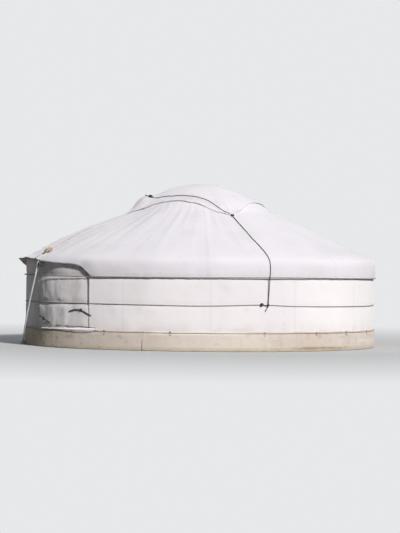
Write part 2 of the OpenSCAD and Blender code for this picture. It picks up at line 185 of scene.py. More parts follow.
def make(name, verts, faces, mats, uv=None, face_mat=None, tone=None, smooth=True):
    """An object of points and faces, with its paint weights in the colour layer tone."""
    me = bpy.data.meshes.new(name)
    me.from_pydata(np.asarray(verts, float).reshape(-1, 3).tolist(), [],
                   faces if isinstance(faces, list) else faces.tolist())
    for m in mats:
        me.materials.append(m)
    if face_mat is not None:
        me.polygons.foreach_set("material_index", np.asarray(face_mat, np.int32))
    me.polygons.foreach_set("use_smooth", np.full(len(me.polygons), smooth))
    if uv is not None:
        li = np.empty(len(me.loops), np.int32)
        me.loops.foreach_get("vertex_index", li)
        layer = me.uv_layers.new(name="uv")
        layer.data.foreach_set("uv", np.asarray(uv, np.float32).reshape(-1, 2)[li].ravel())
    if tone is not None:
        col = me.color_attributes.new("tone", "FLOAT_COLOR", "POINT")
        t = np.asarray(tone, np.float32).reshape(-1, 3)
        col.data.foreach_set("color", np.c_[t, np.ones(len(t), np.float32)].ravel())
    me.update()
    ob = bpy.data.objects.new(name, me)
    SC.collection.objects.link(ob)
    return ob


def quads(nu, nv):
    """Faces of a grid of nu by nv points."""
    i, j = np.meshgrid(np.arange(nu - 1), np.arange(nv - 1), indexing="ij")
    return np.stack([i * nv + j, (i + 1) * nv + j, (i + 1) * nv + j + 1, i * nv + j + 1], -1).reshape(-1, 4)


def cloth(name, outer, inner, uv, mats, tone=None, inner_mat=0, drop=None):
    """A closed sheet between two grids of points, its edges joined all round. Faces marked in drop are cut out."""
    nu, nv = outer.shape[:2]
    n = nu * nv
    f_out = quads(nu, nv)
    if drop is not None:
        f_out = f_out[~drop.ravel()]
    e = np.concatenate([f_out[:, [k, (k + 1) % 4]] for k in range(4)])
    e = e[~np.isin(e[:, 0] * n + e[:, 1], e[:, 1] * n + e[:, 0])]
    rim = np.stack([e[:, 1], e[:, 0], e[:, 0] + n, e[:, 1] + n], -1)
    faces = np.concatenate([f_out, f_out[:, ::-1] + n, rim])
    fm = np.r_[np.zeros(len(f_out)), np.full(len(f_out), inner_mat), np.zeros(len(rim))].astype(int)
    used, faces = np.unique(faces, return_inverse=True)
    faces = faces.reshape(-1, 4)
    verts = np.concatenate([outer.reshape(-1, 3), inner.reshape(-1, 3)])[used]
    uv2 = np.concatenate([uv.reshape(-1, 2)] * 2)[used]
    t2 = None if tone is None else np.concatenate([tone.reshape(-1, 3)] * 2)[used]
    return make(name, verts, faces, mats, uv2, fm, t2)


def place(ob, node=None):
    """Puts a piece on the part's one body, in the stead of a node where one is named."""
    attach(ob, "root")
    if node:
        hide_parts(node)


def painted(first, second=0, third=0):
    """The three paint weights at each point of a sheet."""
    return np.stack(np.broadcast_arrays(first, second, third), -1)


def frames_along(p):
    """Two directions across a path at each of its points, carried along it without twist."""
    t = np.gradient(p, axis=0)
    t /= np.linalg.norm(t, axis=1)[:, None]
    n = np.empty_like(p)
    n[0] = np.cross(t[0], [0, 0, 1.0] if abs(t[0, 2]) < 0.9 else [1.0, 0, 0])
    n[0] /= np.linalg.norm(n[0])
    for i in range(1, len(p)):
        v = n[i - 1] - t[i] * np.dot(n[i - 1], t[i])
        n[i] = v / np.linalg.norm(v)
    return n, np.cross(t, n)


def resample(points, gap):
    """Evenly spaced points along a path, and how far along it each lies."""
    p = np.asarray(points, float)
    d = np.r_[0, np.cumsum(np.linalg.norm(np.diff(p, axis=0), axis=1))]
    n = max(4, int(d[-1] / gap))
    s = np.linspace(0, d[-1], n)
    return np.stack([np.interp(s, d, p[:, k]) for k in range(3)], -1), s


def rope_mesh(name, points, dia, mat, strands=3, pitch=0.075, sides=12, gap=0.009):
    """A laid rope: its section has one lobe for each strand and turns along its length."""
    p, s = resample(points, gap)
    n, b = frames_along(p)
    th = np.linspace(0, 2 * np.pi, sides, endpoint=False)
    ang = th[None, :] + (s / pitch * 2 * np.pi)[:, None]
    r = dia / 2 * (0.8 + 0.2 * np.abs(np.cos(strands * th / 2)))[None, :, None]
    ring = p[:, None] + r * (np.cos(ang)[..., None] * n[:, None] + np.sin(ang)[..., None] * b[:, None])
    m = len(p)
    idx = np.arange(m * sides).reshape(m, sides)
    a, c = idx[:-1], idx[1:]
    faces = np.stack([a, np.roll(a, -1, 1), np.roll(c, -1, 1), c], -1).reshape(-1, 4).tolist()
    faces += [[idx[0, (k + 1) % sides], idx[0, k], m * sides] for k in range(sides)]
    faces += [[idx[-1, k], idx[-1, (k + 1) % sides], m * sides + 1] for k in range(sides)]
    uv = np.stack(np.broadcast_arrays(s[:, None], th[None, :] * dia / 2), -1)
    uv = np.concatenate([uv.reshape(-1, 2), uv[0, :1], uv[-1, :1]])
    return make(name, np.concatenate([ring.reshape(-1, 3), p[:1], p[-1:]]), faces, [mat], uv)


# ---- materials

class Mat:
    """A material on the usual surface shader, with short calls for its nodes."""

    def __init__(self, name, rough=0.9, spec=0.25, metal=0.0, sheen=0.0, matte=0.0):
        self.m = bpy.data.materials.new(name)
        self.m.use_nodes = True
        self.nt = self.m.node_tree
        self.b = self.nt.nodes["Principled BSDF"]
        for k, v in {"Roughness": rough, "Diffuse Roughness": matte, "Specular IOR Level": spec, "Metallic": metal,
                     "Sheen Weight": sheen, "Sheen Roughness": 0.6}.items():
            self.b.inputs[k].default_value = v

    def node(self, kind, ins=None, **attrs):
        return add_node(self.nt, kind, ins, **attrs)

    def coords(self, which, scale=(1, 1, 1), turn=(0, 0, 0)):
        tc = self.node("ShaderNodeTexCoord")
        return self.node("ShaderNodeMapping", {"Vector": tc.outputs[which], "Scale": scale,
                                               "Rotation": turn}).outputs[0]

    def noise(self, vec, scale, detail=3.0, rough=0.55):
        return self.node("ShaderNodeTexNoise", {"Vector": vec, "Scale": scale, "Detail": detail,
                                                "Roughness": rough}).outputs["Fac"]

    def weave(self, uv, scale):
        """Threads both ways."""
        warp, weft = [self.node("ShaderNodeTexWave", {"Vector": uv, "Scale": scale, "Distortion": 0.0},
                                bands_direction=way).outputs["Fac"] for way in "XY"]
        return self.math("MAXIMUM", warp, weft)

    def ramp(self, fac, lo, hi, a=0.0, b=1.0):
        return self.node("ShaderNodeMapRange", {"Value": fac, "From Min": lo, "From Max": hi, "To Min": a,
                                                "To Max": b}).outputs["Result"]

    def mix(self, fac, a, b):
        a, b = [v if isinstance(v, bpy.types.NodeSocket) else (*v, 1) for v in (a, b)]
        return self.node("ShaderNodeMix", {0: fac, 6: a, 7: b}, data_type="RGBA").outputs[2]

    def over(self, col, mask, share, top):
        """A colour with another laid over it, where a mask has it and by a share."""
        return self.mix(self.math("MULTIPLY", mask, share), col, top)

    def math(self, op, a, b=0.0):
        return self.node("ShaderNodeMath", {0: a, 1: b}, operation=op).outputs[0]

    def tone(self):
        """The sheet's three paint weights."""
        a = self.node("ShaderNodeAttribute", attribute_name="tone")
        return self.node("ShaderNodeSeparateColor", {"Color": a.outputs["Color"]}).outputs

    def height(self):
        tc = self.node("ShaderNodeTexCoord")
        return self.node("ShaderNodeSeparateXYZ", {"Vector": tc.outputs["Object"]}).outputs["Z"]

    def rough(self, r):
        self.nt.links.new(r, self.b.inputs["Roughness"])

    def finish(self, colour, bumps):
        """Links the colour and a chain of bumps, each a height, a strength and a distance."""
        self.nt.links.new(colour, self.b.inputs["Base Color"])
        ins = {}
        for h, strength, dist in bumps:
            ins.update({"Height": h, "Strength": strength, "Distance": dist})
            ins["Normal"] = self.node("ShaderNodeBump", ins).outputs[0]
        self.nt.links.new(ins["Normal"], self.b.inputs["Normal"])
        return self.m


def canvas(name, base, shade, dirt_and_shade, width, foot=None, weave=150.0, matte=0.3):
    """Weathered canvas, with a lapped and stitched seam at every width along it. The first paint weight darkens it
    towards the dirt colour, for dirt and for painted shade.
    """
    m = Mat(name, rough=0.88, spec=0.2, sheen=0.12, matte=matte)
    uv, obj = m.coords("UV"), m.coords("Object")
    cloudy = m.noise(obj, 5.0, 4)
    streak = m.noise(m.coords("UV", (7.0, 0.7, 1.0)), 1.0, 4)
    col = m.mix(m.ramp(m.noise(obj, 0.9, 3), 0.35, 0.7), base, shade)
    col = m.over(col, m.ramp(streak, 0.55, 0.85), 0.35, shade)
    col = m.over(col, m.ramp(cloudy, 0.6, 0.9), 0.3, dirt_and_shade)
    # Paint weight one: real dirt, and painted shade on the walls, the valance and the crown cover.
    col = m.mix(m.tone()[0], col, dirt_and_shade)
    if foot is not None:
        col = m.over(col, m.ramp(m.height(), 0.52, 0.31), m.ramp(cloudy, 0.3, 0.8, 0.05, 0.5), foot)
    thread = m.weave(uv, weave)
    col = m.over(col, thread, 0.06, (1.0, 1.0, 1.0))
    split = m.node("ShaderNodeSeparateXYZ", {"Vector": uv}).outputs
    beside = m.math("PINGPONG", split["X"], width / 2)
    lap = m.ramp(beside, 0.017, 0.015)
    row = m.ramp(m.math("ABSOLUTE", m.math("SUBTRACT", beside, 0.011)), 0.0022, 0.0008)
    stitch = m.math("MULTIPLY", row, m.ramp(m.math("PINGPONG", split["Y"], 0.006), 0.0012, 0.0024))
    col = m.over(col, lap, 0.05, dirt_and_shade)
    col = m.over(col, stitch, 0.4, (0.36, 0.34, 0.32))
    m.rough(m.ramp(cloudy, 0.3, 0.8, 0.82, 0.95))
    return m.finish(col, [(m.noise(obj, 14.0, 5, 0.6), 0.35, 0.004), (thread, 0.25, 0.0006), (lap, 0.4, 0.0014)])


def felt(name, base, dark):
    m = Mat(name, rough=0.97, spec=0.1, sheen=0.3)
    obj = m.coords("Object")
    clump, fibre = m.noise(obj, 22.0, 6, 0.65), m.noise(obj, 260.0, 3, 0.7)
    col = m.mix(m.ramp(m.noise(obj, 1.4, 3), 0.3, 0.75), base, dark)
    col = m.over(col, m.ramp(clump, 0.45, 0.8), 0.5, dark)
    return m.finish(col, [(clump, 0.5, 0.006), (fibre, 0.4, 0.0012)])


def skirt_mat(name):
    """Tan canvas with brown stains, pale washed-out places and an earthy foot; the foot's colour also stands as painted
    shade on the panels between azimuths 150 and 208.
    """
    m = Mat(name, rough=0.94, spec=0.12, sheen=0.1, matte=0.35)
    uv, obj = m.coords("UV"), m.coords("Object")
    cloudy = m.noise(obj, 9.0, 5, 0.65)
    streak = m.noise(m.coords("UV", (14.0, 1.4, 1.0)), 1.0, 5)
    stain, light, low = m.tone()
    col = m.mix(m.ramp(m.noise(obj, 1.6, 4), 0.35, 0.7), (0.68, 0.6, 0.545), (0.62, 0.54, 0.48))
    col = m.over(col, m.ramp(streak, 0.45, 0.8), 0.45, (0.55, 0.475, 0.41))
    col = m.over(col, m.ramp(cloudy, 0.5, 0.85), 0.4, (0.78, 0.71, 0.65))
    col = m.mix(light, col, (0.85, 0.81, 0.75))
    # The third weight holds the earthy foot and painted shade.
    col = m.over(col, low, m.ramp(cloudy, 0.3, 0.75, 0.4, 1.0), (0.44, 0.4, 0.25))
    col = m.over(col, stain, m.ramp(cloudy, 0.25, 0.7, 0.35, 1.0), (0.3, 0.16, 0.07))
    return m.finish(col, [(m.noise(obj, 18.0, 5, 0.65), 0.5, 0.005), (m.weave(uv, 110.0), 0.3, 0.0009)])


def rope_mat(name, base, dark, light):
    m = Mat(name, rough=0.9, spec=0.15, sheen=0.15)
    hair = m.noise(m.coords("UV", (60.0, 900.0, 1.0), (0, 0, 0.35)), 1.0, 4)
    patch = m.noise(m.coords("UV", (1.0, 6.0, 1.0)), 9.0, 3)
    col = m.mix(m.ramp(patch, 0.35, 0.7), base, dark)
    return m.finish(m.over(col, m.ramp(hair, 0.5, 0.8), 0.5, light), [(hair, 0.6, 0.0012)])


def wood(name, base, dark, worn, along="Z", rough=0.5, paint=True):
    """Timber, or timber under thin paint. Its grain runs along X, Z, a slat (D) or out from the centre (R)."""
    m = Mat(name, rough=rough, spec=0.35)
    tc = m.node("ShaderNodeTexCoord").outputs["Object"]
    if along == "R":
        x, y, z = m.node("ShaderNodeSeparateXYZ", {"Vector": tc}).outputs
        r = m.math("SQRT", m.math("ADD", m.math("MULTIPLY", x, x), m.math("MULTIPLY", y, y)))
        turn, out, up = [m.math("MULTIPLY", v, k) for v, k in ((m.math("ARCTAN2", y, x), 160.0), (r, 1.6), (z, 60.0))]
        vec = m.node("ShaderNodeCombineXYZ", {"X": turn, "Y": out, "Z": up}).outputs[0]
    else:
        scale = {"Z": (60, 60, 2.2), "X": (2.2, 60, 60), "D": (26, 26, 14)}[along]
        vec = m.node("ShaderNodeMapping", {"Vector": tc, "Scale": scale}).outputs[0]
    grain, scuff = m.noise(vec, 1.0, 5, 0.65), m.noise(tc, 26.0, 5, 0.7)
    col = m.mix(m.ramp(grain, 0.35, 0.7), base, dark)
    col = m.over(col, m.ramp(m.noise(tc, 3.0, 3), 0.4, 0.7), 0.35, dark)
    col = m.over(col, m.ramp(scuff, 0.62, 0.75), 0.55 if paint else 0.25, worn)
    m.rough(m.ramp(scuff, 0.3, 0.8, rough - 0.1, rough + 0.2))
    return m.finish(col, [(grain, 0.25 if paint else 0.5, 0.0012), (scuff, 0.2, 0.0008)])


def iron_mat(name):
    """Dark iron with rust."""
    m = Mat(name, rough=0.55, spec=0.4, metal=0.75)
    n = m.noise(m.coords("Object"), 60.0, 5, 0.7)
    m.rough(m.ramp(n, 0.35, 0.7, 0.4, 0.85))
    return m.finish(m.mix(m.ramp(n, 0.4, 0.62), (0.055, 0.052, 0.05), (0.17, 0.075, 0.035)), [(n, 0.4, 0.0008)])


M_WALL = canvas("wall_canvas", (0.865, 0.83, 0.85), (0.815, 0.78, 0.805), (0.6, 0.58, 0.575), 1.46,
                foot=(0.6, 0.54, 0.47), matte=0.65)
M_ROOF = canvas("roof_canvas", (0.81, 0.782, 0.83), (0.757, 0.73, 0.782), (0.57, 0.55, 0.57), 1.4923)
M_CROWN = canvas("crown_canvas", (0.81, 0.782, 0.83), (0.752, 0.725, 0.777), (0.55, 0.53, 0.55), 1.05, weave=120.0)
M_FELT = felt("felt", (0.66, 0.62, 0.55), (0.48, 0.45, 0.4))
M_SKIRT = skirt_mat("skirt_canvas")
M_ROPE = rope_mat("rope_light", (0.36, 0.31, 0.265), (0.23, 0.195, 0.165), (0.55, 0.49, 0.42))
M_ROPE_W = rope_mat("rope_white", (0.78, 0.79, 0.82), (0.66, 0.67, 0.69), (0.86, 0.87, 0.88))
M_ROPE_T = rope_mat("rope_pale", (0.6, 0.565, 0.52), (0.5, 0.46, 0.41), (0.72, 0.69, 0.64))
M_ROPE_D = rope_mat("rope_dark", (0.055, 0.05, 0.046), (0.03, 0.027, 0.025), (0.16, 0.14, 0.12))
M_KNOT = rope_mat("rope_tan", (0.6, 0.5, 0.36), (0.45, 0.35, 0.23), (0.74, 0.66, 0.52))
M_ROPE_S = rope_mat("rope_grey", (0.15, 0.135, 0.12), (0.09, 0.08, 0.07), (0.28, 0.25, 0.22))
M_DOOR = wood("door_paint", (0.62, 0.2, 0.055), (0.52, 0.155, 0.04), (0.42, 0.27, 0.16))
M_FIELD = wood("door_field_paint", (0.66, 0.25, 0.075), (0.56, 0.2, 0.055), (0.45, 0.29, 0.17))
FRAME_PAINT = (0.5, 0.155, 0.045), (0.4, 0.115, 0.035), (0.38, 0.25, 0.15)
M_FRAME = wood("door_frame_paint", *FRAME_PAINT)
M_FRAME_X = wood("door_frame_paint_x", *FRAME_PAINT, "X")
M_LATTICE = wood("lattice_wood", (0.47, 0.29, 0.15), (0.33, 0.19, 0.09), (0.58, 0.42, 0.26), "D", 0.65, False)
M_POLE = wood("pole_paint", (0.58, 0.2, 0.06), (0.46, 0.145, 0.04), (0.45, 0.3, 0.17), "R")
WHEEL_PAINT = (0.56, 0.18, 0.055), (0.43, 0.13, 0.04), (0.43, 0.28, 0.16)
M_CROWN_W = wood("crown_paint", *WHEEL_PAINT, "D")
M_POST = wood("post_paint", *WHEEL_PAINT)
M_IRON = iron_mat("iron")


# ---- wall covers

def wall_swell(phi, z):
    """How far the canvas stands off its round, between the ropes that draw it in."""
    s = rad(phi) * WALL_R
    mid, top = GIRTH_MID + mid_drop(phi), GIRTH_TOP + top_drop(phi)
    tie = np.maximum(np.maximum(bump_at(z, mid, 0.05), bump_at(z, top, 0.06)), bump_at(z, GIRTH_LOW, 0.06))
    near = np.exp(-np.minimum(np.minimum(abs(z - mid), abs(z - GIRTH_TOP)), abs(z - GIRTH_LOW)) / 0.09)
    folds = 0.006 * fbm(s * 1.5, z * 0.5, 11) + 0.003 * fbm(s * 4.2, z * 1.1, 21)
    gather = 0.0035 * near * fbm(s * 11.0, z * 1.5, 31, 2)
    slant = 0.003 * fbm((s + 0.9 * z) * 2.3, (z - 0.3 * s) * 2.0, 41)
    d = 0.0075 + folds + slant + gather
    old = step(phi % 360, 172, 182) * step(phi % 360, 207.6, 203)
    warp = 0.25 * vnoise(s * 1.5, z * 2.0, 57)
    worn = 0.007 * fbm((s + warp) * 4.5, z * 1.1, 55, 4) + 0.006 * fbm(s * 5.0 - z * 4.0, z * 3.0, 51, 4)
    d = d + old * (0.006 + worn)
    return np.clip(d * (1 - 0.92 * tie) * step(z, 1.475, 1.41), 0.0003, 0.03)


def wave_of(phi, knots):
    """How far a girth rope lies above its plain height, by the angle from the camera's side."""
    a = (np.asarray(phi, float) - CAM_AZ + 180) % 360 - 180
    k = np.array([(-180, 0.0)] + knots + [(180, 0.0)])
    w = 4.0
    return (np.interp(a - w, *k.T) + 2 * np.interp(a, *k.T) + np.interp(a + w, *k.T)) / 4


def mid_drop(phi):
    return wave_of(phi, [(-64, 0.0), (-39, 0.006), (-17, 0.0), (-1, -0.008), (8, 0.0), (17, 0.016), (24, 0.014),
                         (27, -0.004), (42, -0.014), (75, -0.02), (110, -0.004)])


def top_drop(phi):
    return wave_of(phi, [(-60, 0.0), (-40, -0.01), (-1, 0.0), (27, 0.01), (50, 0.0), (80, -0.016), (110, 0.0)])


def wall_sheet(name, node, a0, a1, from_a=None, to_a=None):
    """The canvas and the felt of one wall sheet. Its canvas may end beside the felt's edges, where sheets lap."""
    z = np.linspace(0.006, WALL_H - 0.002, 84)
    s0, s1 = a0 if from_a is None else from_a, a1 if to_a is None else to_a
    phi, zz = np.meshgrid(np.linspace(s0, s1, int((s1 - s0) / 0.42) + 2), z, indexing="ij")
    lap = step(phi, s0 + 7.0, s0 + 1.8) * 0.0035 + 0.007 * np.exp(-(phi - s0) / 0.7) * step(zz, 0.55, 0.8)
    hem = np.minimum(abs(zz - z[0]), abs(phi - s0) * 0.052)
    r = WALL_R + wall_swell(phi, zz) + lap * (from_a is not None)
    r = r + 0.0012 * (hem < 0.035) + 0.0008 * bump_at(hem, 0.035, 0.004)
    p, x = phi % 360, rad(phi) * 3
    # Random dirt, and the front sheet darkened from az -75, fully from az -38 to the door: painted shade.
    dirt_and_shade = 0.18 * step(fbm(x * 1.7, zz * 1.2, 73), 0.35, 0.9) + 0.3 * step(p, 285, 322)
    # The worn zone from az -190 to -152 is darker: partly dirt, partly painted shade.
    old = step(p, 170, 179) * step(p, 207.8, 206.4)
    blot = fbm(x * 5 + zz, zz * 2.2, 71, 4) + 0.5 * fbm(x * 15, zz * 5, 75, 2)
    dirt_and_shade += old * (0.34 + 0.38 * blot)
    # Painted shadow under the lifted valance corner, az -183 to -172, above the top rope.
    dirt_and_shade += 0.55 * bump_at(p, 182.5, 5.5) * step(zz, 1.16, 1.24)
    # Painted shade of a fold: a dark strip at az -179.5 below the top rope.
    dirt_and_shade += 0.5 * bump_at(p, 180.5, 1.8) * step(zz, 1.3, 1.1) * (0.6 + 0.4 * fbm(x * 9, zz * 3, 77))
    # Dark streaks in the worn zone, strongest from az -174 to -190: painted shade of its wrinkles, and dirt.
    streak = step(fbm((x + 0.5 * zz) * 13, zz * 1.6, 79, 2), 0.15, 0.75)
    streak += step(fbm((x - 0.9 * zz) * 10, zz * 3.2, 83, 2), 0.3, 0.85)
    dirt_and_shade += 0.3 * old * streak * (0.5 + 0.5 * step(p, 203, 186))
    # A darker band at the top rope's height: painted shade under the rope.
    tone = painted(np.clip(dirt_and_shade + 0.25 * bump_at(zz, 1.2, 0.02), 0, 0.95))
    uv = np.stack([rad(phi) * WALL_R, zz], -1)
    ob = cloth(name, at(phi, r, zz), at(phi, r - 0.0026, zz), uv, [M_WALL, M_FELT], tone, 1)
    place(ob, node)
    lining = name.replace("canvas", "felt")
    float(rad(s1 - s0) * WALL_R)
    phi, zz = np.meshgrid(np.linspace(a0 + 0.05, a1 - 0.05, max(8, int((a1 - a0) / 1.2))),
                          np.linspace(0.004, WALL_H - 0.004, 26), indexing="ij")
    r = 2.9775 + 0.0012 * fbm(rad(phi) * 8, zz * 3, 81)
    ob = cloth(lining, at(phi, 2.9955, zz), at(phi, r, zz), np.stack([rad(phi) * WALL_R, zz], -1), [M_FELT])
    place(ob)
    float(rad(a1 - a0) * 2.99)


# ---- roof covers

ROOF_PTS = [(3.027, 1.183), (3.0265, 1.2), (3.035, 1.235), (3.0405, 1.29), (3.039, 1.37), (3.028, 1.438),
            (2.985, 1.502), (2.9, 1.5575), (2.78, 1.6125), (2.0, slope_z(2.0) + 0.002), (1.33, slope_z(1.33) + 0.006),
            (1.2, 2.303), (1.0075, 2.462), (0.88, 2.528), (0.775, 2.58)]
ROOF_D, ROOF_Q = path_table(ROOF_PTS, 700, 41)
ROOF_LEN = ROOF_D[-1]


def roof_point(s):
    """Radius and height of the roof cover's plain outer face, and its outward normal, at an arc length."""
    r, z = np.interp(s, ROOF_D, ROOF_Q[:, 0]), np.interp(s, ROOF_D, ROOF_Q[:, 1])
    e = 0.004
    dr = np.interp(s + e, ROOF_D, ROOF_Q[:, 0]) - np.interp(s - e, ROOF_D, ROOF_Q[:, 0])
    dz = np.interp(s + e, ROOF_D, ROOF_Q[:, 1]) - np.interp(s - e, ROOF_D, ROOF_Q[:, 1])
    n = np.hypot(dr, dz) + 1e-12
    return r, z, dz / n, -dr / n


def s_at_height(z):
    """Arc length at a height of the valance."""
    return np.interp(z, ROOF_Q[:220, 1], ROOF_D[:220])


def s_at_radius(r):
    """Arc length at a radius of the roof."""
    return np.interp(-r, -ROOF_Q[200:, 0], ROOF_D[200:])


def hem_height(phi):
    """Height of the valance's lower edge. Its corners are drawn up at the back seam."""
    p = np.asarray(phi, float) % 360
    left = np.interp(p, [180, 187, 198, 203, 205.4, 207.5, 209], [1.43, 1.41, 1.395, 1.373, 1.34, 1.26, 1.183])
    right = np.interp(p, [136, 146, 156, 170, 176, 180], [1.183, 1.3, 1.36, 1.375, 1.4, 1.43])
    h = np.where(p >= 180, left, right)
    h = np.where((p > 209) | (p < 136), 1.183, h)
    return h + 0.004 * vnoise(p * 0.35, 0 * p, 91) * step(np.minimum(p, 360 - p), 9.5, 14)


def hem_s(phi):
    return s_at_height(hem_height(phi))


# Azimuth of the lattice's first end, and of the poles
END_A = 9.264
POLES = np.array([END_A + (2 * k + 1) * (360 - 2 * END_A) / 110 for k in range(55)])


def roof_swell(phi, s, r, z):
    """How far the roof canvas stands off its plain shape: over poles, in folds and under the crown ropes."""
    a = rad(phi)
    x = a * r
    slope = step(s, 0.4, 0.62) * step(s, ROOF_LEN - 0.3, ROOF_LEN - 0.55)
    nearest = np.min(np.abs((np.asarray(phi)[..., None] - POLES + 180) % 360 - 180), -1)
    ribs = 0.0045 * np.exp(-(rad(nearest) * r / 0.05) ** 2) * slope
    radial = 0.015 * fbm(a * 3.2, s * 0.3, 101) + 0.008 * fbm(a * 8.5, s * 0.5, 111)
    cross = 0.004 * fbm(a * 1.3, s * 2.6, 121) + 0.0025 * fbm(x * 4.0, s * 4.0, 131)
    val = step(s, 0.34, 0.22)
    gather = 0.008 * val * bump_at(z, 1.23, 0.09) * fbm(x * 8.0, z * 2.0, 141, 2)
    soft = 0.006 * val * fbm(x * 1.9, z * 2.5, 151)
    top = step(s, ROOF_LEN - 0.6, ROOF_LEN - 0.25)
    pleat = 0.006 * top * fbm(a * 14, s * 1.0, 161, 2)
    press = 0
    for c in (CROWN_TURN, CROWN_TURN + 90, 180.0, CROWN_TURN + 270):
        off = rad(((np.asarray(phi) - c) + 180) % 360 - 180) * r
        press = press + 0.005 * np.exp(-(off / 0.08) ** 2) - 0.008 * np.exp(-(off / 0.022) ** 2)
    press = press * slope
    p = np.asarray(phi, float) % 360
    puff = 0.05 * np.exp(-((p - 166) / 17.0) ** 2) * step(s, 0.3, 1.0) * step(s, ROOF_LEN - 0.45, ROOF_LEN - 1.5)
    puff = puff + 0.018 * np.exp(-((p - 187) / 9.0) ** 2) * step(s, 0.4, 0.9) * step(s, ROOF_LEN - 0.4, ROOF_LEN - 1.0)
    tie = bump_at(z, 1.2, 0.02) * val
    folds = (radial + cross) * (1 - 0.7 * top) * (0.45 + 0.55 * slope)
    d = 0.006 + ribs + folds + pleat + gather + soft + press + puff
    return np.maximum(d, -0.001) * (1 - 0.9 * tie)


# Where the wing beside the back seam leaves the roof, and how steeply it falls
FLARE_S = float(np.interp(-2.93, -ROOF_Q[:, 0], ROOF_D))
WING_SIN, WING_COS = math.sin(rad(14)), math.cos(rad(14))


def flared(phi, s, r, z, nr, nz):
    """The same place and normal, but beside the back seam on an edge that stands out like a wing; and its share."""
    p = np.asarray(phi, float) % 360
    w = step(p, 141, 155) * step(p, 187, 172) * (s < FLARE_S)
    r0, z0 = roof_point(FLARE_S)[:2]
    out = np.maximum(FLARE_S - s, 0)
    wing = (r0 + out * WING_COS, z0 - out * WING_SIN - 0.35 * out ** 2 + 0.006 * np.sin(p * 0.55) * out / 0.2,
            WING_SIN, WING_COS)
    return *(u * (1 - w) + v * w for u, v in zip((r, z, nr, nz), wing)), w


def roof_skin(phi, s):
    """Radius and height of the roof cover's outer face, and its outward normal, at an azimuth and arc length."""
    hem = s - hem_s(phi)
    r, z, nr, nz = roof_point(s)
    d = roof_swell(phi, s, r, z)
    r, z, nr, nz, _ = flared(phi, s, r, z, nr, nz)
    p = np.asarray(phi, float) % 360
    lift = np.interp(p, [136, 150, 174, 180, 188, 200, 212], [0, 0.0, 0.0, 0.015, 0.022, 0.008, 0])
    free = np.exp(-np.maximum(hem, 0) / 0.1)
    edge = 0.0016 * (hem < 0.04) + 0.001 * bump_at(hem, 0.04, 0.004)
    lap = 0.006 * step((p - 180) * 0.052, 0.1, 0.08) * (p >= 180)
    d = d + lap + edge + lift * free
    return r + nr * d + 0.4 * lift * free, z + nz * d, nr, nz


def skin_r(a, z):
    """Outermost radius of the wall or of the valance over it."""
    wall = WALL_R + wall_swell(a, z)
    return np.where(z > hem_height(a), np.maximum(roof_skin(a, s_at_height(z))[0], wall), wall)


FRAME_TOP = float(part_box("door_lintel")[1][2])
DOOR_CUT_A = math.degrees(math.asin(0.478 / 3.03))
DOOR_CUT_S = float(s_at_height(FRAME_TOP + 0.003))


def with_door_cut(a0, a1, n, rows, s_low, s_high):
    """Grid lines of a roof sheet, with lines along the door frame's side and top, and its faces over the frame."""
    phi = np.unique(np.r_[np.linspace(a0, a1, n), math.copysign(DOOR_CUT_A, a0 + a1)])
    cut = (DOOR_CUT_S - s_low) / (s_high - s_low)
    v = np.unique(np.r_[np.linspace(0, 1, rows), cut])
    drop = (abs(phi[1:] + phi[:-1]) / 2 < DOOR_CUT_A)[:, None] & ((v[1:] + v[:-1]) / 2 < cut)[None, :]
    return phi[:, None] * np.ones((1, len(v))), v, drop


def roof_half(name, node, a0, a1):
    """The canvas and the felt of one half of the roof cover."""
    hem_d = float(hem_s(0.0))
    phi, v, drop = with_door_cut(a0, a1, 320, 104, hem_d, ROOF_LEN)
    s0 = hem_s(phi)
    s = s0 + (ROOF_LEN - s0) * v[None, :]
    r, z, nr, nz = roof_skin(phi, s)
    inner = at(phi, r - nr * 0.003, z - nz * 0.003)
    grime = step(fbm(rad(phi) * 3.0, s * 1.5, 171), 0.25, 0.9)
    # Random grime, and painted shade darkening the valance's lower band, most of all at az -153.5.
    low = 0.2 + 0.45 * bump_at(phi % 360, 206.5, 3.0)
    dirt_and_shade = 0.16 * grime + low * step(s, 0.33, 0.2) * (0.6 + 0.4 * fbm(rad(phi) * 9, s * 3, 181))
    uv = np.stack([rad(phi + 22.5) * 1.9, s], -1)
    ob = cloth(name, at(phi, r, z), inner, uv, [M_ROOF, M_FELT], painted(np.clip(dirt_and_shade, 0, 0.8)), 1, drop)
    place(ob, node)
    lining = name.replace("canvas", "felt")
    phi, v, drop = with_door_cut(a0 + 0.06, a1 - 0.06, 90, 44, hem_d + 0.02, ROOF_LEN - 0.004)
    s0 = hem_s(phi) + 0.02
    s = s0 + (ROOF_LEN - 0.004 - s0) * v[None, :]
    r, z, nr, nz, wing = flared(phi, s, *roof_point(s))
    below = z < 1.49
    r_in, z_in = r - nr * 0.0215, z - nz * 0.0215
    r_in = np.where(below & (wing < 0.01), np.maximum(r_in, 3.0035), r_in)
    outer = at(phi, np.maximum(r - nr * 0.009, r_in + 0.004 * below), z - nz * 0.009)
    ob = cloth(lining, outer, at(phi, r_in, z_in), np.stack([rad(phi) * 1.9, s], -1), [M_FELT], drop=drop)
    place(ob)


# ---- crown cover

def table_fn(points, soft):
    """A table of one number by another, with its corners eased."""
    p = np.array(points, float)
    x = np.linspace(p[0, 0], p[-1, 0], 600)
    return x, eased(np.interp(x, p[:, 0], p[:, 1])[:, None], soft)[:, 0]


def dome_z(r):
    """Height of the crown wheel's spokes."""
    return WHEEL_TOP + 0.218 * (1 - (np.abs(r) / WHEEL_R) ** 2.3)


TOP_X, TOP_Z = table_fn([(-0.8, dome_z(0.8))] + [(r, dome_z(r)) for r in np.linspace(-0.576, 0.576, 13)]
                        + [(0.76, 2.5805), (1.0075, 2.4575), (1.215, 2.288), (1.6, slope_z(1.6))], 61)


def under_crown(r):
    return np.interp(r, TOP_X, TOP_Z)


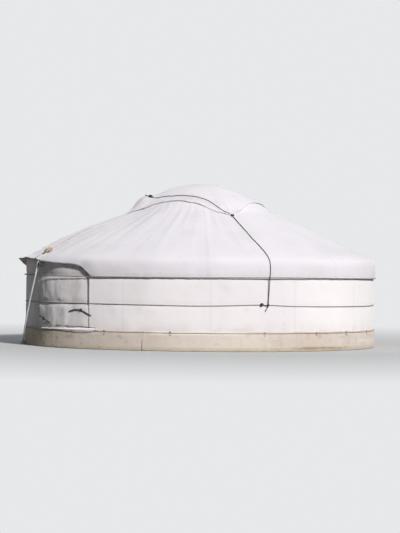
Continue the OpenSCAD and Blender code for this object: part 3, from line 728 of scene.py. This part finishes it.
def roof_below(x, y):
    """Height of the roof cover's outer face at a place. Inside its upper edge it falls away."""
    a, r = deg(np.arctan2(x, -y)), np.hypot(x, y)
    rr, z, nr, nz = roof_skin(a, s_at_radius(r))
    return z - (r - rr) * nr / nz - 1.5 * np.maximum(0.8 - r, 0) ** 2


def crown_height(x, y):
    """Height of the crown cover's outer face at a place."""
    r = np.hypot(x, y)
    a = deg(np.arctan2(x, -y))
    h = under_crown(r) + 0.016
    corner = 0
    for c, puff, mid, long, wide in ((0, 0.045, 1.2, 0.13, 0.11), (90, 0.03, 1.22, 0.13, 0.11),
                                     (180, 0.135, 1.09, 0.17, 0.2), (270, 0.012, 1.22, 0.13, 0.11)):
        da = rad((a - c - CROWN_TURN + 180) % 360 - 180)
        off, along = r * np.sin(da), r * np.cos(da)
        near = step(along, 0.72, 1.3) * np.exp(-(off / 0.3) ** 2)
        fan = off / np.maximum(1.62 - along, 0.14)
        h = h + near * (0.011 * np.sin(fan * 15 + c) + 0.006 * np.sin(fan * 31 + 2 * c))
        h = h + puff * np.exp(-((along - mid) / long) ** 2) * np.exp(-(off / wide) ** 2)
        corner = np.maximum(corner, near)
    h = h + 0.007 * fbm(x * 3.0, y * 3.0, 201) * (0.35 + 0.65 * step(r, 0.2, 0.9))
    h = h + 0.003 * fbm(a / 9.0, r * 1.5, 211) * step(r, 0.35, 0.85)
    laid = roof_below(x, y) + 0.0085
    h = (h + laid) / 2 + np.sqrt(((h - laid) / 2) ** 2 + 0.002 ** 2)
    ct, st = math.cos(rad(CROWN_TURN)), math.sin(rad(CROWN_TURN))
    xs, ys = x * ct + y * st, y * ct - x * st
    edge = CROWN_SIDE / 2 - np.maximum(np.abs(xs - ys), np.abs(xs + ys)) / math.sqrt(2)
    lift = 0.022 * np.exp(-np.maximum(edge, 0) / 0.06) * (1 - corner) * (0.7 + 0.6 * fbm(x * 2.2, y * 2.2, 221))
    lift = lift * (0.35 + 0.65 * step(y, -0.45, 0.1))
    band = 0.003 * (edge < 0.05) + 0.0015 * bump_at(edge, 0.05, 0.006)
    return h + lift + band - 0.003 * under_lash(x, y, 0.02)


# The dark rope laid over the crown cover: its distance out, by the angle from the back corner to a side corner
LASH = [(0.0, 1.02), (8.0, 0.99), (14.0, 0.93), (20.0, 0.885), (27.0, 0.86), (43.0, 0.84), (54.0, 0.85),
        (64.0, 0.885), (72.0, 0.955), (80.0, 1.08), (86.0, 1.22), (90.0, 1.4)]


def lash_r(a):
    """Distance of the dark rope from the centre, at an azimuth."""
    k = np.array(LASH)
    d = np.abs((np.asarray(a, float) - CROWN_TURN) % 360 - 180)
    return (np.interp(d - 1.5, *k.T) + 2 * np.interp(d, *k.T) + np.interp(d + 1.5, *k.T)) / 4


def under_lash(x, y, width):
    """How near a place lies to the dark rope, which is laid over the back half of the crown cover."""
    a = deg(np.arctan2(x, -y))
    d = np.abs((a - CROWN_TURN) % 360 - 180)
    return bump_at(np.hypot(x, y), lash_r(a), width) * step(d, 90.5, 89.5)


def crown_cover():
    """The square cover over the crown wheel, and the dark rope laid over its back half."""
    g = np.linspace(-1, 1, 152)
    u, v = np.meshgrid(g, g, indexing="ij")
    pull = 1 + 0.02 * (1 - np.minimum(abs(u), abs(v)) ** 2) * np.maximum(abs(u), abs(v)) ** 6
    p, q = u * CROWN_SIDE / 2 * pull, v * CROWN_SIDE / 2 * pull
    ct, st = math.cos(rad(45 + CROWN_TURN)), math.sin(rad(45 + CROWN_TURN))
    x, y = p * ct - q * st, p * st + q * ct
    out = np.stack([x, y, crown_height(x, y)], -1)
    e = 0.004
    zx = (crown_height(x + e, y) - crown_height(x - e, y)) / (2 * e)
    zy = (crown_height(x, y + e) - crown_height(x, y - e)) / (2 * e)
    nrm = np.stack([-zx, -zy, np.ones_like(x)], -1)
    nrm /= np.linalg.norm(nrm, axis=-1, keepdims=True)
    # Random dirt, and painted shade in a band along the dark rope.
    dirt_and_shade = 0.25 * step(fbm(x * 4, y * 4, 231), 0.2, 0.9) + 0.3 * under_lash(x, y, 0.03)
    ob = cloth("crown_canvas", out, out - 0.0045 * nrm, np.stack([u, v], -1) * 1.05, [M_CROWN],
               painted(np.clip(dirt_and_shade, 0, 0.7)))
    place(ob, "crown_cover")
    for i, a0 in enumerate((90.8, 180.0)):
        a = np.linspace(a0, a0 + 89.2, 110) + CROWN_TURN
        x, y = lash_r(a) * np.sin(rad(a)), -lash_r(a) * np.cos(rad(a))
        pts = np.stack([x, y, crown_height(x, y) + 0.0088], -1)
        place(rope_mesh("crown_lash_%d" % (i + 1), pts, 0.013, M_ROPE_S))


# ---- skirt

def skirt_top(phi):
    """Height of the skirt's upper edge, which hangs in shallow scallops between its ties."""
    t = (np.asarray(phi, float) % 360) / 360 * 22
    sag = (t - np.floor(t)) * (1 - (t - np.floor(t))) * 4
    return 0.3205 - 0.01 * sag + 0.003 * vnoise(t * 3.0, 0 * t, 301)


def skirt_face(phi, z):
    """Radius of the skirt's outer face, drawn in under the low rope and loose below it."""
    s = rad(phi) * 3.02
    base = np.interp(z, [0, 0.12, 0.24, 0.285, 0.294, 0.303, 0.33],
                     [3.0245, 3.0245, 3.0225, 3.0165, 3.015, 3.016, 3.0185])
    loose = step(z, 0.285, 0.16)
    f = 0.005 * fbm(s * 1.8, z * 1.2, 311) + 0.0035 * fbm(s * 5.0, z * 3.0, 321)
    g = 0.003 * np.exp(-abs(z - 0.294) / 0.05) * fbm(s * 13, z * 2, 331, 2)
    return base + np.maximum(f, -0.003) * loose + g


def skirt(name, node, a0, a1, proud=0.0):
    """One panel of the skirt, with its upper edge turned in to the wall."""
    n, m, turn, r_in, t = int((a1 - a0) / 0.45) + 2, 34, 0.1, 3.0062, 0.0024
    phi, v = np.meshgrid(np.linspace(a0, a1, n), np.linspace(0, 1, m), indexing="ij")
    zt = skirt_top(phi)
    k, down = np.clip(v / turn, 0, 1) * np.pi / 2, np.clip((v - turn) / (1 - turn), 0, 1)
    z = np.where(v < turn, zt - 0.012 + 0.014 * np.sin(k), (zt + 0.002) * (1 - down) + 0.0025 * down)
    face = skirt_face(phi, z) + proud
    r = np.where(v < turn, r_in + (face - r_in) * (1 - np.cos(k)), face)
    inner = at(phi, r - t * step(v, 0.04, 0.16) - 0.0002, z - t * (1 - step(v, 0.05, 0.16)) - 0.0002 * (v < 0.99))
    az = (phi + 180) % 360 - 180
    blot = fbm(rad(phi) * 16, z * 14, 341)
    mark = 0.05 + 0.01 * vnoise(az * 0.25, 0 * az, 343)
    spots = step(fbm(rad(phi) * 24, z * 22, 351), 0.55, 0.95)
    stain = np.maximum.reduce([
        0.95 * step(az, -87, -80) * step(az, -57, -65) * bump_at(z, mark, 0.02) * step(blot, -1.3, -0.2),
        0.42 * spots * step(az, -120, -140), 0.22 * spots,
        0.55 * bump_at(az, -74.0, 0.55) * step(z, 0.19, 0.22)])
    light = np.maximum.reduce([
        0.85 * step(az, -133, -129) * step(az, -97, -103) * step(z, 0.255, 0.275),
        0.3 * step(az, -131, -118) * step(az, -88, -100),
        0.3 * bump_at(z, 0.15, 0.03) * step(az, -62, -50) * step(az, -20, -40)])
    # Painted shade between az 150 and -152, laid on in the earthy foot colour of the third paint weight.
    shade = step(phi % 360, 208, 186) * step(phi % 360, 150, 170)
    bands = step(fbm(rad(phi) * 5, z * 34, 361, 2), -0.3, 0.6)
    low = np.maximum(step(z, 0.085, 0.02) * 0.8, shade * (0.35 + 0.5 * bands))
    uv = np.stack([rad(phi) * 3.02, z], -1)
    ob = cloth(name, at(phi, r, z), inner, uv, [M_SKIRT], painted(stain, light, low))
    place(ob, node)
    float(rad(a1 - a0) * 3.024)


# ---- ropes


def girth(name, node, r, z, rise, dia, pitch):
    """A rope round the wall, from one side of the door frame to the other."""
    e = DOOR_A + 0.03
    a = np.linspace(e, 360 - e, 1600)
    place(rope_mesh(name, at(a, r, z + rise(a)), dia, M_ROPE, pitch=pitch, sides=10, gap=0.014), node)


def knot(name, centre, size, dia, mat, seed, axis, flat, loops=3):
    """A tied knot: a rope wound over itself a few times."""
    ax = Vector(axis).normalized()
    b1 = ax.orthogonal().normalized()
    b2 = ax.cross(b1)
    t = np.linspace(0, 2 * np.pi * loops, 60 * loops)
    ph = np.random.RandomState(seed).uniform(0, 6.28, 3)
    r = size / 2 * (0.72 + 0.28 * np.sin(t * (loops + 1) / loops + ph[0]))
    h = size / 2 * flat * 0.8 * np.sin(t * (loops - 1) / loops + ph[1])
    pts = np.array(centre) + np.outer(r * np.cos(t), b1) + np.outer(r * np.sin(t), b2) + np.outer(h, ax)
    place(rope_mesh(name, pts, dia, mat, pitch=dia * 4, sides=10, gap=dia * 0.45))


def crown_rope(name, node, pts, dia, mat):
    """A rope along a path, which is smoothed first."""
    p, _ = resample(pts, 0.02)
    k = np.array([1, 2, 3, 2, 1.0])
    k /= k.sum()
    e = np.concatenate([np.repeat(p[:1], 2, 0), p, np.repeat(p[-1:], 2, 0)])
    q = np.stack([np.convolve(c, k, "valid") for c in e.T], -1)
    q[0], q[-1] = p[0], p[-1]
    place(rope_mesh(name, q, dia, mat, pitch=dia * 5), node)


def over_roof(a, off, s_from, s_to, n=70):
    """Points over the roof cover's outer face from one arc length to another, at one azimuth or along several."""
    s = np.linspace(s_from, s_to, n)
    a = np.interp(np.linspace(0, 1, n), np.linspace(0, 1, np.size(a)), np.ravel(a))
    r, z, nr, nz = roof_skin((a + 180) % 360 - 180, s)
    return at(a, r + nr * off, z + nz * off)


def ropes():
    """The girth ropes, and the ropes from the crown cover's corners with their knots."""
    girth("girth_top", "girth_rope_top", 3.0352, GIRTH_TOP, top_drop, 0.0155, 0.065)
    girth("girth_middle", "girth_rope_middle", 3.0088, GIRTH_MID, mid_drop, 0.0155, 0.065)
    girth("girth_low", "girth_rope_low", 3.0215, GIRTH_LOW, np.zeros_like, 0.011, 0.05)
    s_corner = float(s_at_radius(1.445))
    for side, a in (("left", CROWN_TURN - 90), ("right", CROWN_TURN + 90)):
        z_mid, z_top = GIRTH_MID + float(mid_drop(a)), GIRTH_TOP + float(top_drop(a))
        hang = [(0.1, 3.054, z_top + 0.012), (0.1, 3.0535, z_top - 0.012), (0.3, 3.03, z_mid + 0.12),
                (0.4, 3.029, z_mid + 0.01), (0.4, 3.027, z_mid - 0.03), (0.7, 3.021, z_mid - 0.045),
                (1.1, 3.019, z_mid - 0.075), (1.2, 3.019, z_mid - 0.105)]
        link = [(0.6, 3.025, z_mid - 0.012), (1.4, 3.023, z_mid - 0.008), (2.4, 3.022, z_mid + 0.012)]
        hang, link = [np.array([at(a - da, r, z) for da, r, z in row]) for row in (hang, link)]
        crown_rope("crown_rope_%s_laid" % side, "crown_rope_" + side,
                   np.concatenate([over_roof(a, 0.0085, s_corner, 0.085), hang]), 0.015, M_ROPE_D)
        face = (math.sin(rad(a)), -math.cos(rad(a)), 0)
        knot("crown_turn_" + side, at(a - 0.4, 3.029, z_mid), 0.032, 0.011, M_ROPE_D, 5, face, 0.6)
        crown_rope("crown_end_" + side, None, link, 0.011, M_ROPE_D)
        knot("crown_knot_" + side, at(a - 2.5, 3.027, z_mid + 0.008), 0.046, 0.015, M_ROPE_D, 5, face, 0.6)
        corner = over_roof(a, 0.02, s_corner + 0.03, s_corner + 0.04, 2)[0]
        knot("crown_corner_" + side, corner, 0.055, 0.013, M_ROPE_D, 9, (0.2, 0, 1), 0.7)
    top = over_roof(CROWN_TURN, 0.009, s_corner, DOOR_CUT_S + 0.006)
    x = 3.04 * math.tan(rad(CROWN_TURN))
    down = np.array([(x, -3.0345, 1.4665), (x, -3.0375, 1.452), (x, -3.0395, 1.425), (x + 0.001, -3.0405, 1.405),
                     (x + 0.003, -3.0395, 1.375), (x + 0.006, -3.0372, 1.33), (x + 0.005, -3.0365, 1.285)])
    crown_rope("crown_rope_front_laid", "crown_rope_front", np.concatenate([top, down]), 0.015, M_ROPE_D)
    knot("crown_knot_front", (x, -3.0455, 1.407), 0.04, 0.014, M_ROPE_D, 6, (0, 1, 0), 0.6)
    corner = over_roof(CROWN_TURN, 0.02, s_corner + 0.03, s_corner + 0.04, 2)[0]
    knot("crown_corner_front", corner, 0.055, 0.013, M_ROPE_D, 10, (0, 0.2, 1), 0.7)
    back_rope(s_corner)


def back_rope(s_corner):
    """The light rope that comes over the back seam, turns aside under the eave and runs down to the ground."""
    r = roof_point(np.linspace(s_corner, 0.47, 70))[0]
    aside = np.interp(r, (r[0], r[-1]), (-CROWN_TURN * r[0], -2.4 * r[-1]))
    top = over_roof(-180 - aside / r, 0.01, s_corner, 0.47)
    crown_rope("crown_rope_back_roof", "crown_rope_back", top, 0.015, M_ROPE_T)
    top = over_roof((-177.5, -177.4), 0.02, 0.5, 0.44, 8)
    way = [(182.7, 3.072, 1.42), (182.4, 3.082, 1.33), (181.7, 3.083, 1.245), (180.7, 3.081, 1.15),
           (178.4, 3.078, 0.96), (175.8, 3.077, 0.76), (173.0, 3.076, 0.54), (169.8, 3.076, 0.3), (167.6, 3.076, 0.14),
           (166.2, 3.076, 0.035)]
    down = np.array([at(*p) for p in way])
    crown_rope("crown_rope_back_laid", "crown_rope_back", np.concatenate([top, down]), 0.03, M_ROPE_W)
    knot("crown_knot_back", at(166.0, 3.074, 0.045), 0.075, 0.024, M_ROPE_W, 7, (0, 1, 0.2), 0.7)
    bundle = over_roof(-177.4, 0.035, 0.47, 0.48, 2)[0]
    knot("eave_bundle", bundle, 0.15, 0.024, M_KNOT, 12, (0.0, 0.45, 0.9), 0.3, 4)
    knot("eave_tie", at(-176.2, 3.066, 1.385), 0.085, 0.02, M_ROPE_S, 15, (0.1, 1, 0.1), 0.5)
    knot("eave_bundle_tie", bundle + np.array([0.0, 0.0, 0.012]), 0.06, 0.02, M_KNOT, 13, (1, 0, 0.3), 0.8)
    a = -175.0
    x, y = float(lash_r(a)) * math.sin(rad(a)), -float(lash_r(a)) * math.cos(rad(a))
    z = float(crown_height(np.array(x), np.array(y))) + 0.014
    knot("crown_corner_back", (x, y, z), 0.065, 0.016, M_ROPE_D, 11, (0, -0.3, 1), 0.7)


def seam_ties():
    """Dark ties that draw the wall cover's edges together at the seam behind the left side."""
    def tie(name, pts, dia, seed, knotted):
        p = np.array([at(a, float(skin_r(a, z)) + off, z) for a, off, z in pts])
        mat = M_ROPE_S if dia < 0.01 else M_ROPE_D
        crown_rope(name, None, p, dia, mat)
        a = rad(pts[knotted][0])
        knot(name + "_knot", p[knotted], dia * 2.2, dia * 0.9, mat, seed, (math.sin(a), -math.cos(a), 0), 0.5)

    tie("seam_tie_low", [(-160.6, 0.004, 0.612), (-158.6, 0.009, 0.636), (-156.9, 0.012, 0.645), (-155.2, 0.015, 0.636),
                         (-153.8, 0.015, 0.606), (-152.4, 0.012, 0.572), (-151.2, 0.006, 0.545)], 0.02, 21, 3)
    tie("seam_tie_foot", [(-178.0, 0.004, 0.515), (-176.4, 0.011, 0.5), (-174.7, 0.014, 0.472), (-172.8, 0.011, 0.44),
                          (-170.9, 0.005, 0.412)], 0.02, 22, 2)
    tie("seam_tie_top", [(-156.4, 0.003, 1.33), (-155.2, 0.008, 1.327), (-153.9, 0.01, 1.3), (-153.1, 0.01, 1.255),
                         (-152.7, 0.012, 1.205), (-152.6, 0.01, 1.15), (-152.6, 0.006, 1.0), (-152.6, 0.005, 0.72)],
        0.0095, 23, 2)
    tie("seam_tie_fold", [(-167.2, 0.004, 0.378), (-164.0, 0.007, 0.372), (-160.0, 0.008, 0.368),
                          (-156.0, 0.009, 0.366), (-152.0, 0.009, 0.358), (-149.2, 0.005, 0.345)], 0.009, 24, 4)


def seam_fold():
    """The wall cover's foot, pulled out and folded over the skirt's top edge beside the seam."""
    a0, a1 = -176.0, -148.5
    phi, v = np.meshgrid(np.linspace(a0, a1, 160), np.linspace(0, 1, 32), indexing="ij")
    u = (phi - a0) / (a1 - a0)
    top = np.interp(phi, [-176, -168, -162, -156, -151, -148.5], [0.318, 0.324, 0.338, 0.35, 0.345, 0.334])
    low = np.interp(phi, [-176, -168, -163, -158, -153, -150.5, -148.5],
                    [0.302, 0.3, 0.293, 0.272, 0.268, 0.29, 0.318])
    top, low = top + 0.002 * fbm(u * 14, 0 * u, 401), low + 0.003 * fbm(u * 12, 0 * u, 403)
    z = top + (low - top) * v
    puff = step(phi, -166, -158) * step(phi, -148.5, -151)
    r = 3.012 + 0.021 * step(v, 0, 0.4) + (0.003 + 0.012 * puff) * np.sin(np.pi * np.clip(v * 1.1, 0, 1))
    r = r + (0.002 + 0.002 * puff) * fbm(u * 30 + v * 2, v * 2, 405)
    tone = painted(0.12 * step(fbm(u * 20, v * 3, 407), 0.2, 0.8))
    uv = np.stack([rad(phi) * 3.03, z], -1)
    ob = cloth("seam_fold", at(phi, r, z), at(phi, r - 0.0035, z - 0.0008), uv, [M_WALL], tone)
    place(ob)
    float(rad(a1 - a0) * 3.03)


def skirt_ties():
    """Short loops that hold the skirt's top edge to the low rope."""
    marks = [-171, -146, -124, -94.4, -75.4, -61, -45.3, -20, 17, 38, 62, 84, 107, 128, 146]
    t = np.linspace(0, 2 * np.pi, 40)
    for i, a in enumerate(marks):
        w = 0.011 + 0.004 * ((i * 7) % 3) / 2
        loop = at(a + deg(w / 3.02) * np.sin(t), 3.0245 + 0.0065 * np.cos(t * 2), 0.283 + 0.036 * np.cos(t))
        mat = M_ROPE_S if i % 3 else M_ROPE
        place(rope_mesh("skirt_tie_%d" % (i + 1), loop, 0.007, mat, pitch=0.03, sides=8, gap=0.006))


# ---- door and timber

def bevel_box(bm, lo, hi, bevel):
    """Adds a box between two corners, with its edges rounded."""
    vs = bmesh.ops.create_cube(bm, size=1.0)["verts"]
    for v in vs:
        v.co = Vector([(lo[k] + hi[k]) / 2 + v.co[k] * (hi[k] - lo[k]) for k in range(3)])
    es = list({e for v in vs for e in v.link_edges})
    bmesh.ops.bevel(bm, geom=es, offset=bevel, segments=2, profile=0.7, affect="EDGES")


def finish_bm(bm, name, mat, node):
    """Makes a piece of what a bmesh holds."""
    me = bpy.data.meshes.new(name)
    bm.to_mesh(me)
    bm.free()
    me.materials.append(mat)
    me.polygons.foreach_set("use_smooth", np.full(len(me.polygons), True))
    ob = bpy.data.objects.new(name, me)
    SC.collection.objects.link(ob)
    place(ob, node)


def boards(name, boxes, mat, node):
    """A piece of boxes, each given by two corners and the rounding of its edges."""
    bm = bmesh.new()
    for lo, hi, bevel in boxes:
        bevel_box(bm, lo, hi, bevel)
    finish_bm(bm, name, mat, node)


def door():
    """The leaf with three sunk panels of three boards each, its hardware, and the frame."""
    lo, hi = [np.array(v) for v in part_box("door_leaf")]
    y0, y1 = lo[1], hi[1]
    st = 0.1
    ph = (hi[2] - lo[2] - 4 * st) / 3
    stiles = [((x, y0, lo[2]), (x + st, y1, hi[2]), 0.005) for x in (lo[0], hi[0] - st)]
    for i in range(4):
        z0 = lo[2] + i * (ph + st)
        stiles.append(((lo[0] + st + 0.0006, y0 + 0.0006, z0), (hi[0] - st - 0.0006, y1 - 0.0006, z0 + st), 0.004))
    boards("door_stiles", stiles, M_DOOR, "door_leaf")
    fields, beads = [], []
    xa, xb, b = lo[0] + st, hi[0] - st, 0.016
    third = (xb - xa) / 3
    for i in range(3):
        za = lo[2] + st + i * (ph + st)
        zb = za + ph
        for k in range(3):
            fields.append(((xa + k * third + 0.0008, y0 + 0.01, za),
                           (xa + (k + 1) * third - 0.0008, y1 - 0.006, zb), 0.003))
        for x0, z0, x1, z1 in ((xa, za, xb, za + b), (xa, zb - b, xb, zb), (xa, za, xa + b, zb), (xb - b, za, xb, zb)):
            beads.append(((x0, y0 + 0.003, z0), (x1, y0 + 0.016, z1), 0.005))
    boards("door_fields", fields, M_FIELD, None)
    boards("door_beads", beads, M_DOOR, None)
    hardware(lo, hi)
    for n in ("threshold", "lintel", "jamb_left", "jamb_right"):
        mat = M_FRAME if "jamb" in n else M_FRAME_X
        dress("door_" + n, mat)
        frame_board("door_" + n, *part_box("door_" + n), mat)


def frame_board(node, a, b, mat):
    """The same beam or jamb with its edges rounded, its stop, and on the jambs and the lintel a bead along its face."""
    stop_y, stop_b = -FRAME_Y + 0.0423, b[1] - 0.001
    if "jamb" in node:
        left = "left" in node
        x0, x1 = (a[0], a[0] + JAMB_W) if left else (b[0] - JAMB_W, b[0])
        xm = (x0 + x1) / 2
        s0, s1 = (x1 - 0.002, b[0]) if left else (a[0], x0 + 0.002)
        boxes = [((x0, a[1], a[2]), (x1, b[1], b[2]), 0.005), ((s0, stop_y, a[2]), (s1, stop_b, b[2]), 0.003),
                 ((xm - 0.008, a[1] - 0.0035, a[2] + 0.03), (xm + 0.008, a[1] + 0.004, b[2] - 0.03), 0.003)]
    else:
        low = "threshold" in node
        z0, z1 = (a[2], a[2] + 0.1) if low else (b[2] - 0.12, b[2])
        zm = (z0 + z1) / 2
        x = 0.475 - JAMB_W - 0.0153
        s0, s1 = (z1 - 0.002, b[2]) if low else (a[2], z0 + 0.002)
        boxes = [((a[0], a[1], z0), (b[0], b[1], z1), 0.006), ((-x, stop_y, s0), (x, stop_b, s1), 0.003)]
        if not low:
            boxes.append(((a[0] + 0.03, a[1] - 0.0035, zm - 0.012), (b[0] - 0.03, a[1] + 0.004, zm + 0.012), 0.003))
    boards(node + "_timber", boxes, mat, node)


def hardware(lo, hi):
    """The hinges with their rivets, and the pull handle on its two plates."""
    bm = bmesh.new()
    x1 = (hi[0] - lo[0] + 0.003 + 0.1) / 2
    x0 = x1 - 0.1
    for z in (lo[2] + 0.2, hi[2] - 0.2):
        bevel_box(bm, (x0, -FRAME_Y - 0.0043, z), (x1, -FRAME_Y - 0.0003, z + 0.04), 0.001)
        barrel = bmesh.ops.create_cone(bm, cap_ends=True, segments=16, radius1=0.0065, radius2=0.0065, depth=0.05)
        for v in barrel["verts"]:
            v.co += Vector((hi[0] + 0.0015, -FRAME_Y - 0.006, z + 0.02))
        for k in range(4):
            xs, zs = x0 + 0.012 + k * 0.025, z + (0.012 if k % 2 else 0.028)
            for v in bmesh.ops.create_uvsphere(bm, u_segments=10, v_segments=6, radius=0.004)["verts"]:
                v.co = Vector((v.co.x + xs, v.co.y * 0.5 - FRAME_Y - 0.0045, v.co.z + zs))
    finish_bm(bm, "door_hinges_plates", M_IRON, "door_hinges")
    a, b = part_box("door_handle")
    xm, zm = (a[0] + b[0]) / 2, (a[2] + b[2]) / 2
    t = np.linspace(0, np.pi, 40)
    pts = np.stack([np.full(40, xm), -FRAME_Y - 0.003 - 0.024 * np.sin(t) ** 0.6, zm - 0.056 * np.cos(t)], -1)
    pull = rope_mesh("door_pull", pts, 0.011, M_IRON, strands=2, pitch=9.0, sides=14, gap=0.003)
    place(pull, "door_handle")
    bm = bmesh.new()
    for z in (zm - 0.056, zm + 0.056):
        bevel_box(bm, (xm - 0.0115, -FRAME_Y - 0.0042, z - 0.0135),
                  (xm + 0.0115, -FRAME_Y - 0.0002, z + 0.0135), 0.0012)
    finish_bm(bm, "door_pull_plates", M_IRON, None)


def dress(node, mat):
    """Gives a node of the solids its material."""
    ob = bpy.data.objects.get(node)
    ob.data.materials.clear()
    ob.data.materials.append(mat)


def floor():
    """The ground, which fades into the backdrop and throws little light up."""
    m = bpy.data.materials.new("floor")
    m.use_nodes = True
    nt = m.node_tree
    b = nt.nodes["Principled BSDF"]
    b.inputs["Roughness"].default_value = 1.0
    b.inputs["Specular IOR Level"].default_value = 0.0
    camera = add_node(nt, "ShaderNodeLightPath").outputs["Is Camera Ray"]
    away = add_node(nt, "ShaderNodeVectorMath", {0: add_node(nt, "ShaderNodeTexCoord").outputs["Object"]},
                    operation="LENGTH").outputs["Value"]
    far = add_node(nt, "ShaderNodeMapRange", {"Value": away, "From Min": 4.5, "From Max": 13.0}).outputs[0]
    fade = add_node(nt, "ShaderNodeMath", {0: far, 1: camera}, operation="MULTIPLY").outputs[0]
    col = add_node(nt, "ShaderNodeMix", {0: camera, 6: (0.25, 0.25, 0.25, 1), 7: (0.72, 0.725, 0.73, 1)},
                   data_type="RGBA").outputs[2]
    nt.links.new(col, b.inputs["Base Color"])
    glow = add_node(nt, "ShaderNodeEmission", {"Color": BACKDROP, "Strength": 1.0}).outputs[0]
    mix = add_node(nt, "ShaderNodeMixShader", {0: fade, 1: b.outputs[0], 2: glow}).outputs[0]
    nt.links.new(mix, nt.nodes["Material Output"].inputs[0])
    n = 96
    rs = [0.0001, 1, 2, 3, 4, 6, 9, 14, 30, 90]
    turns = [2 * math.pi * k / n for k in range(n)]
    pts = [[r * math.cos(t), r * math.sin(t), -0.002] for r in rs for t in turns]
    faces = [[i * n + k, (i + 1) * n + k, (i + 1) * n + (k + 1) % n, i * n + (k + 1) % n]
             for i in range(len(rs) - 1) for k in range(n)]
    make("floor", pts, faces, [m], smooth=False)


def main():
    set_camera()
    set_light()
    floor()
    wall_sheet("wall_canvas_left", "wall_cover_left", SEAM_L, -DOOR_A, from_a=SEAM_L + 1.8)
    wall_sheet("wall_canvas_back", "wall_cover_back", SEAM_R, 360 + SEAM_L, from_a=SEAM_R - 2.0, to_a=362.2 + SEAM_L)
    wall_sheet("wall_canvas_right", "wall_cover_right", DOOR_A, SEAM_R)
    roof_half("roof_canvas_left", "roof_cover_left", -180.0, -0.04)
    roof_half("roof_canvas_right", "roof_cover_right", 0.0, 179.96)
    crown_cover()
    skirt("skirt_cloth_1", "skirt_1", -42.0, -DOOR_A, 0.0022)
    skirt("skirt_cloth_2", "skirt_2", -133.0, -41.0)
    skirt("skirt_cloth_3", "skirt_3", 140.0, 228.2, 0.0022)
    skirt("skirt_cloth_4", "skirt_4", 60.0, 141.2)
    skirt("skirt_cloth_5", "skirt_5", DOOR_A, 61.2, 0.0022)
    ropes()
    seam_ties()
    seam_fold()
    skirt_ties()
    door()
    coats = {"lattice": M_LATTICE, "roof_poles": M_POLE, "crown_wheel": M_CROWN_W, "crown_post": M_POST}
    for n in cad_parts:
        for start, mat in coats.items():
            if n.startswith(start):
                dress(n, mat)


main()
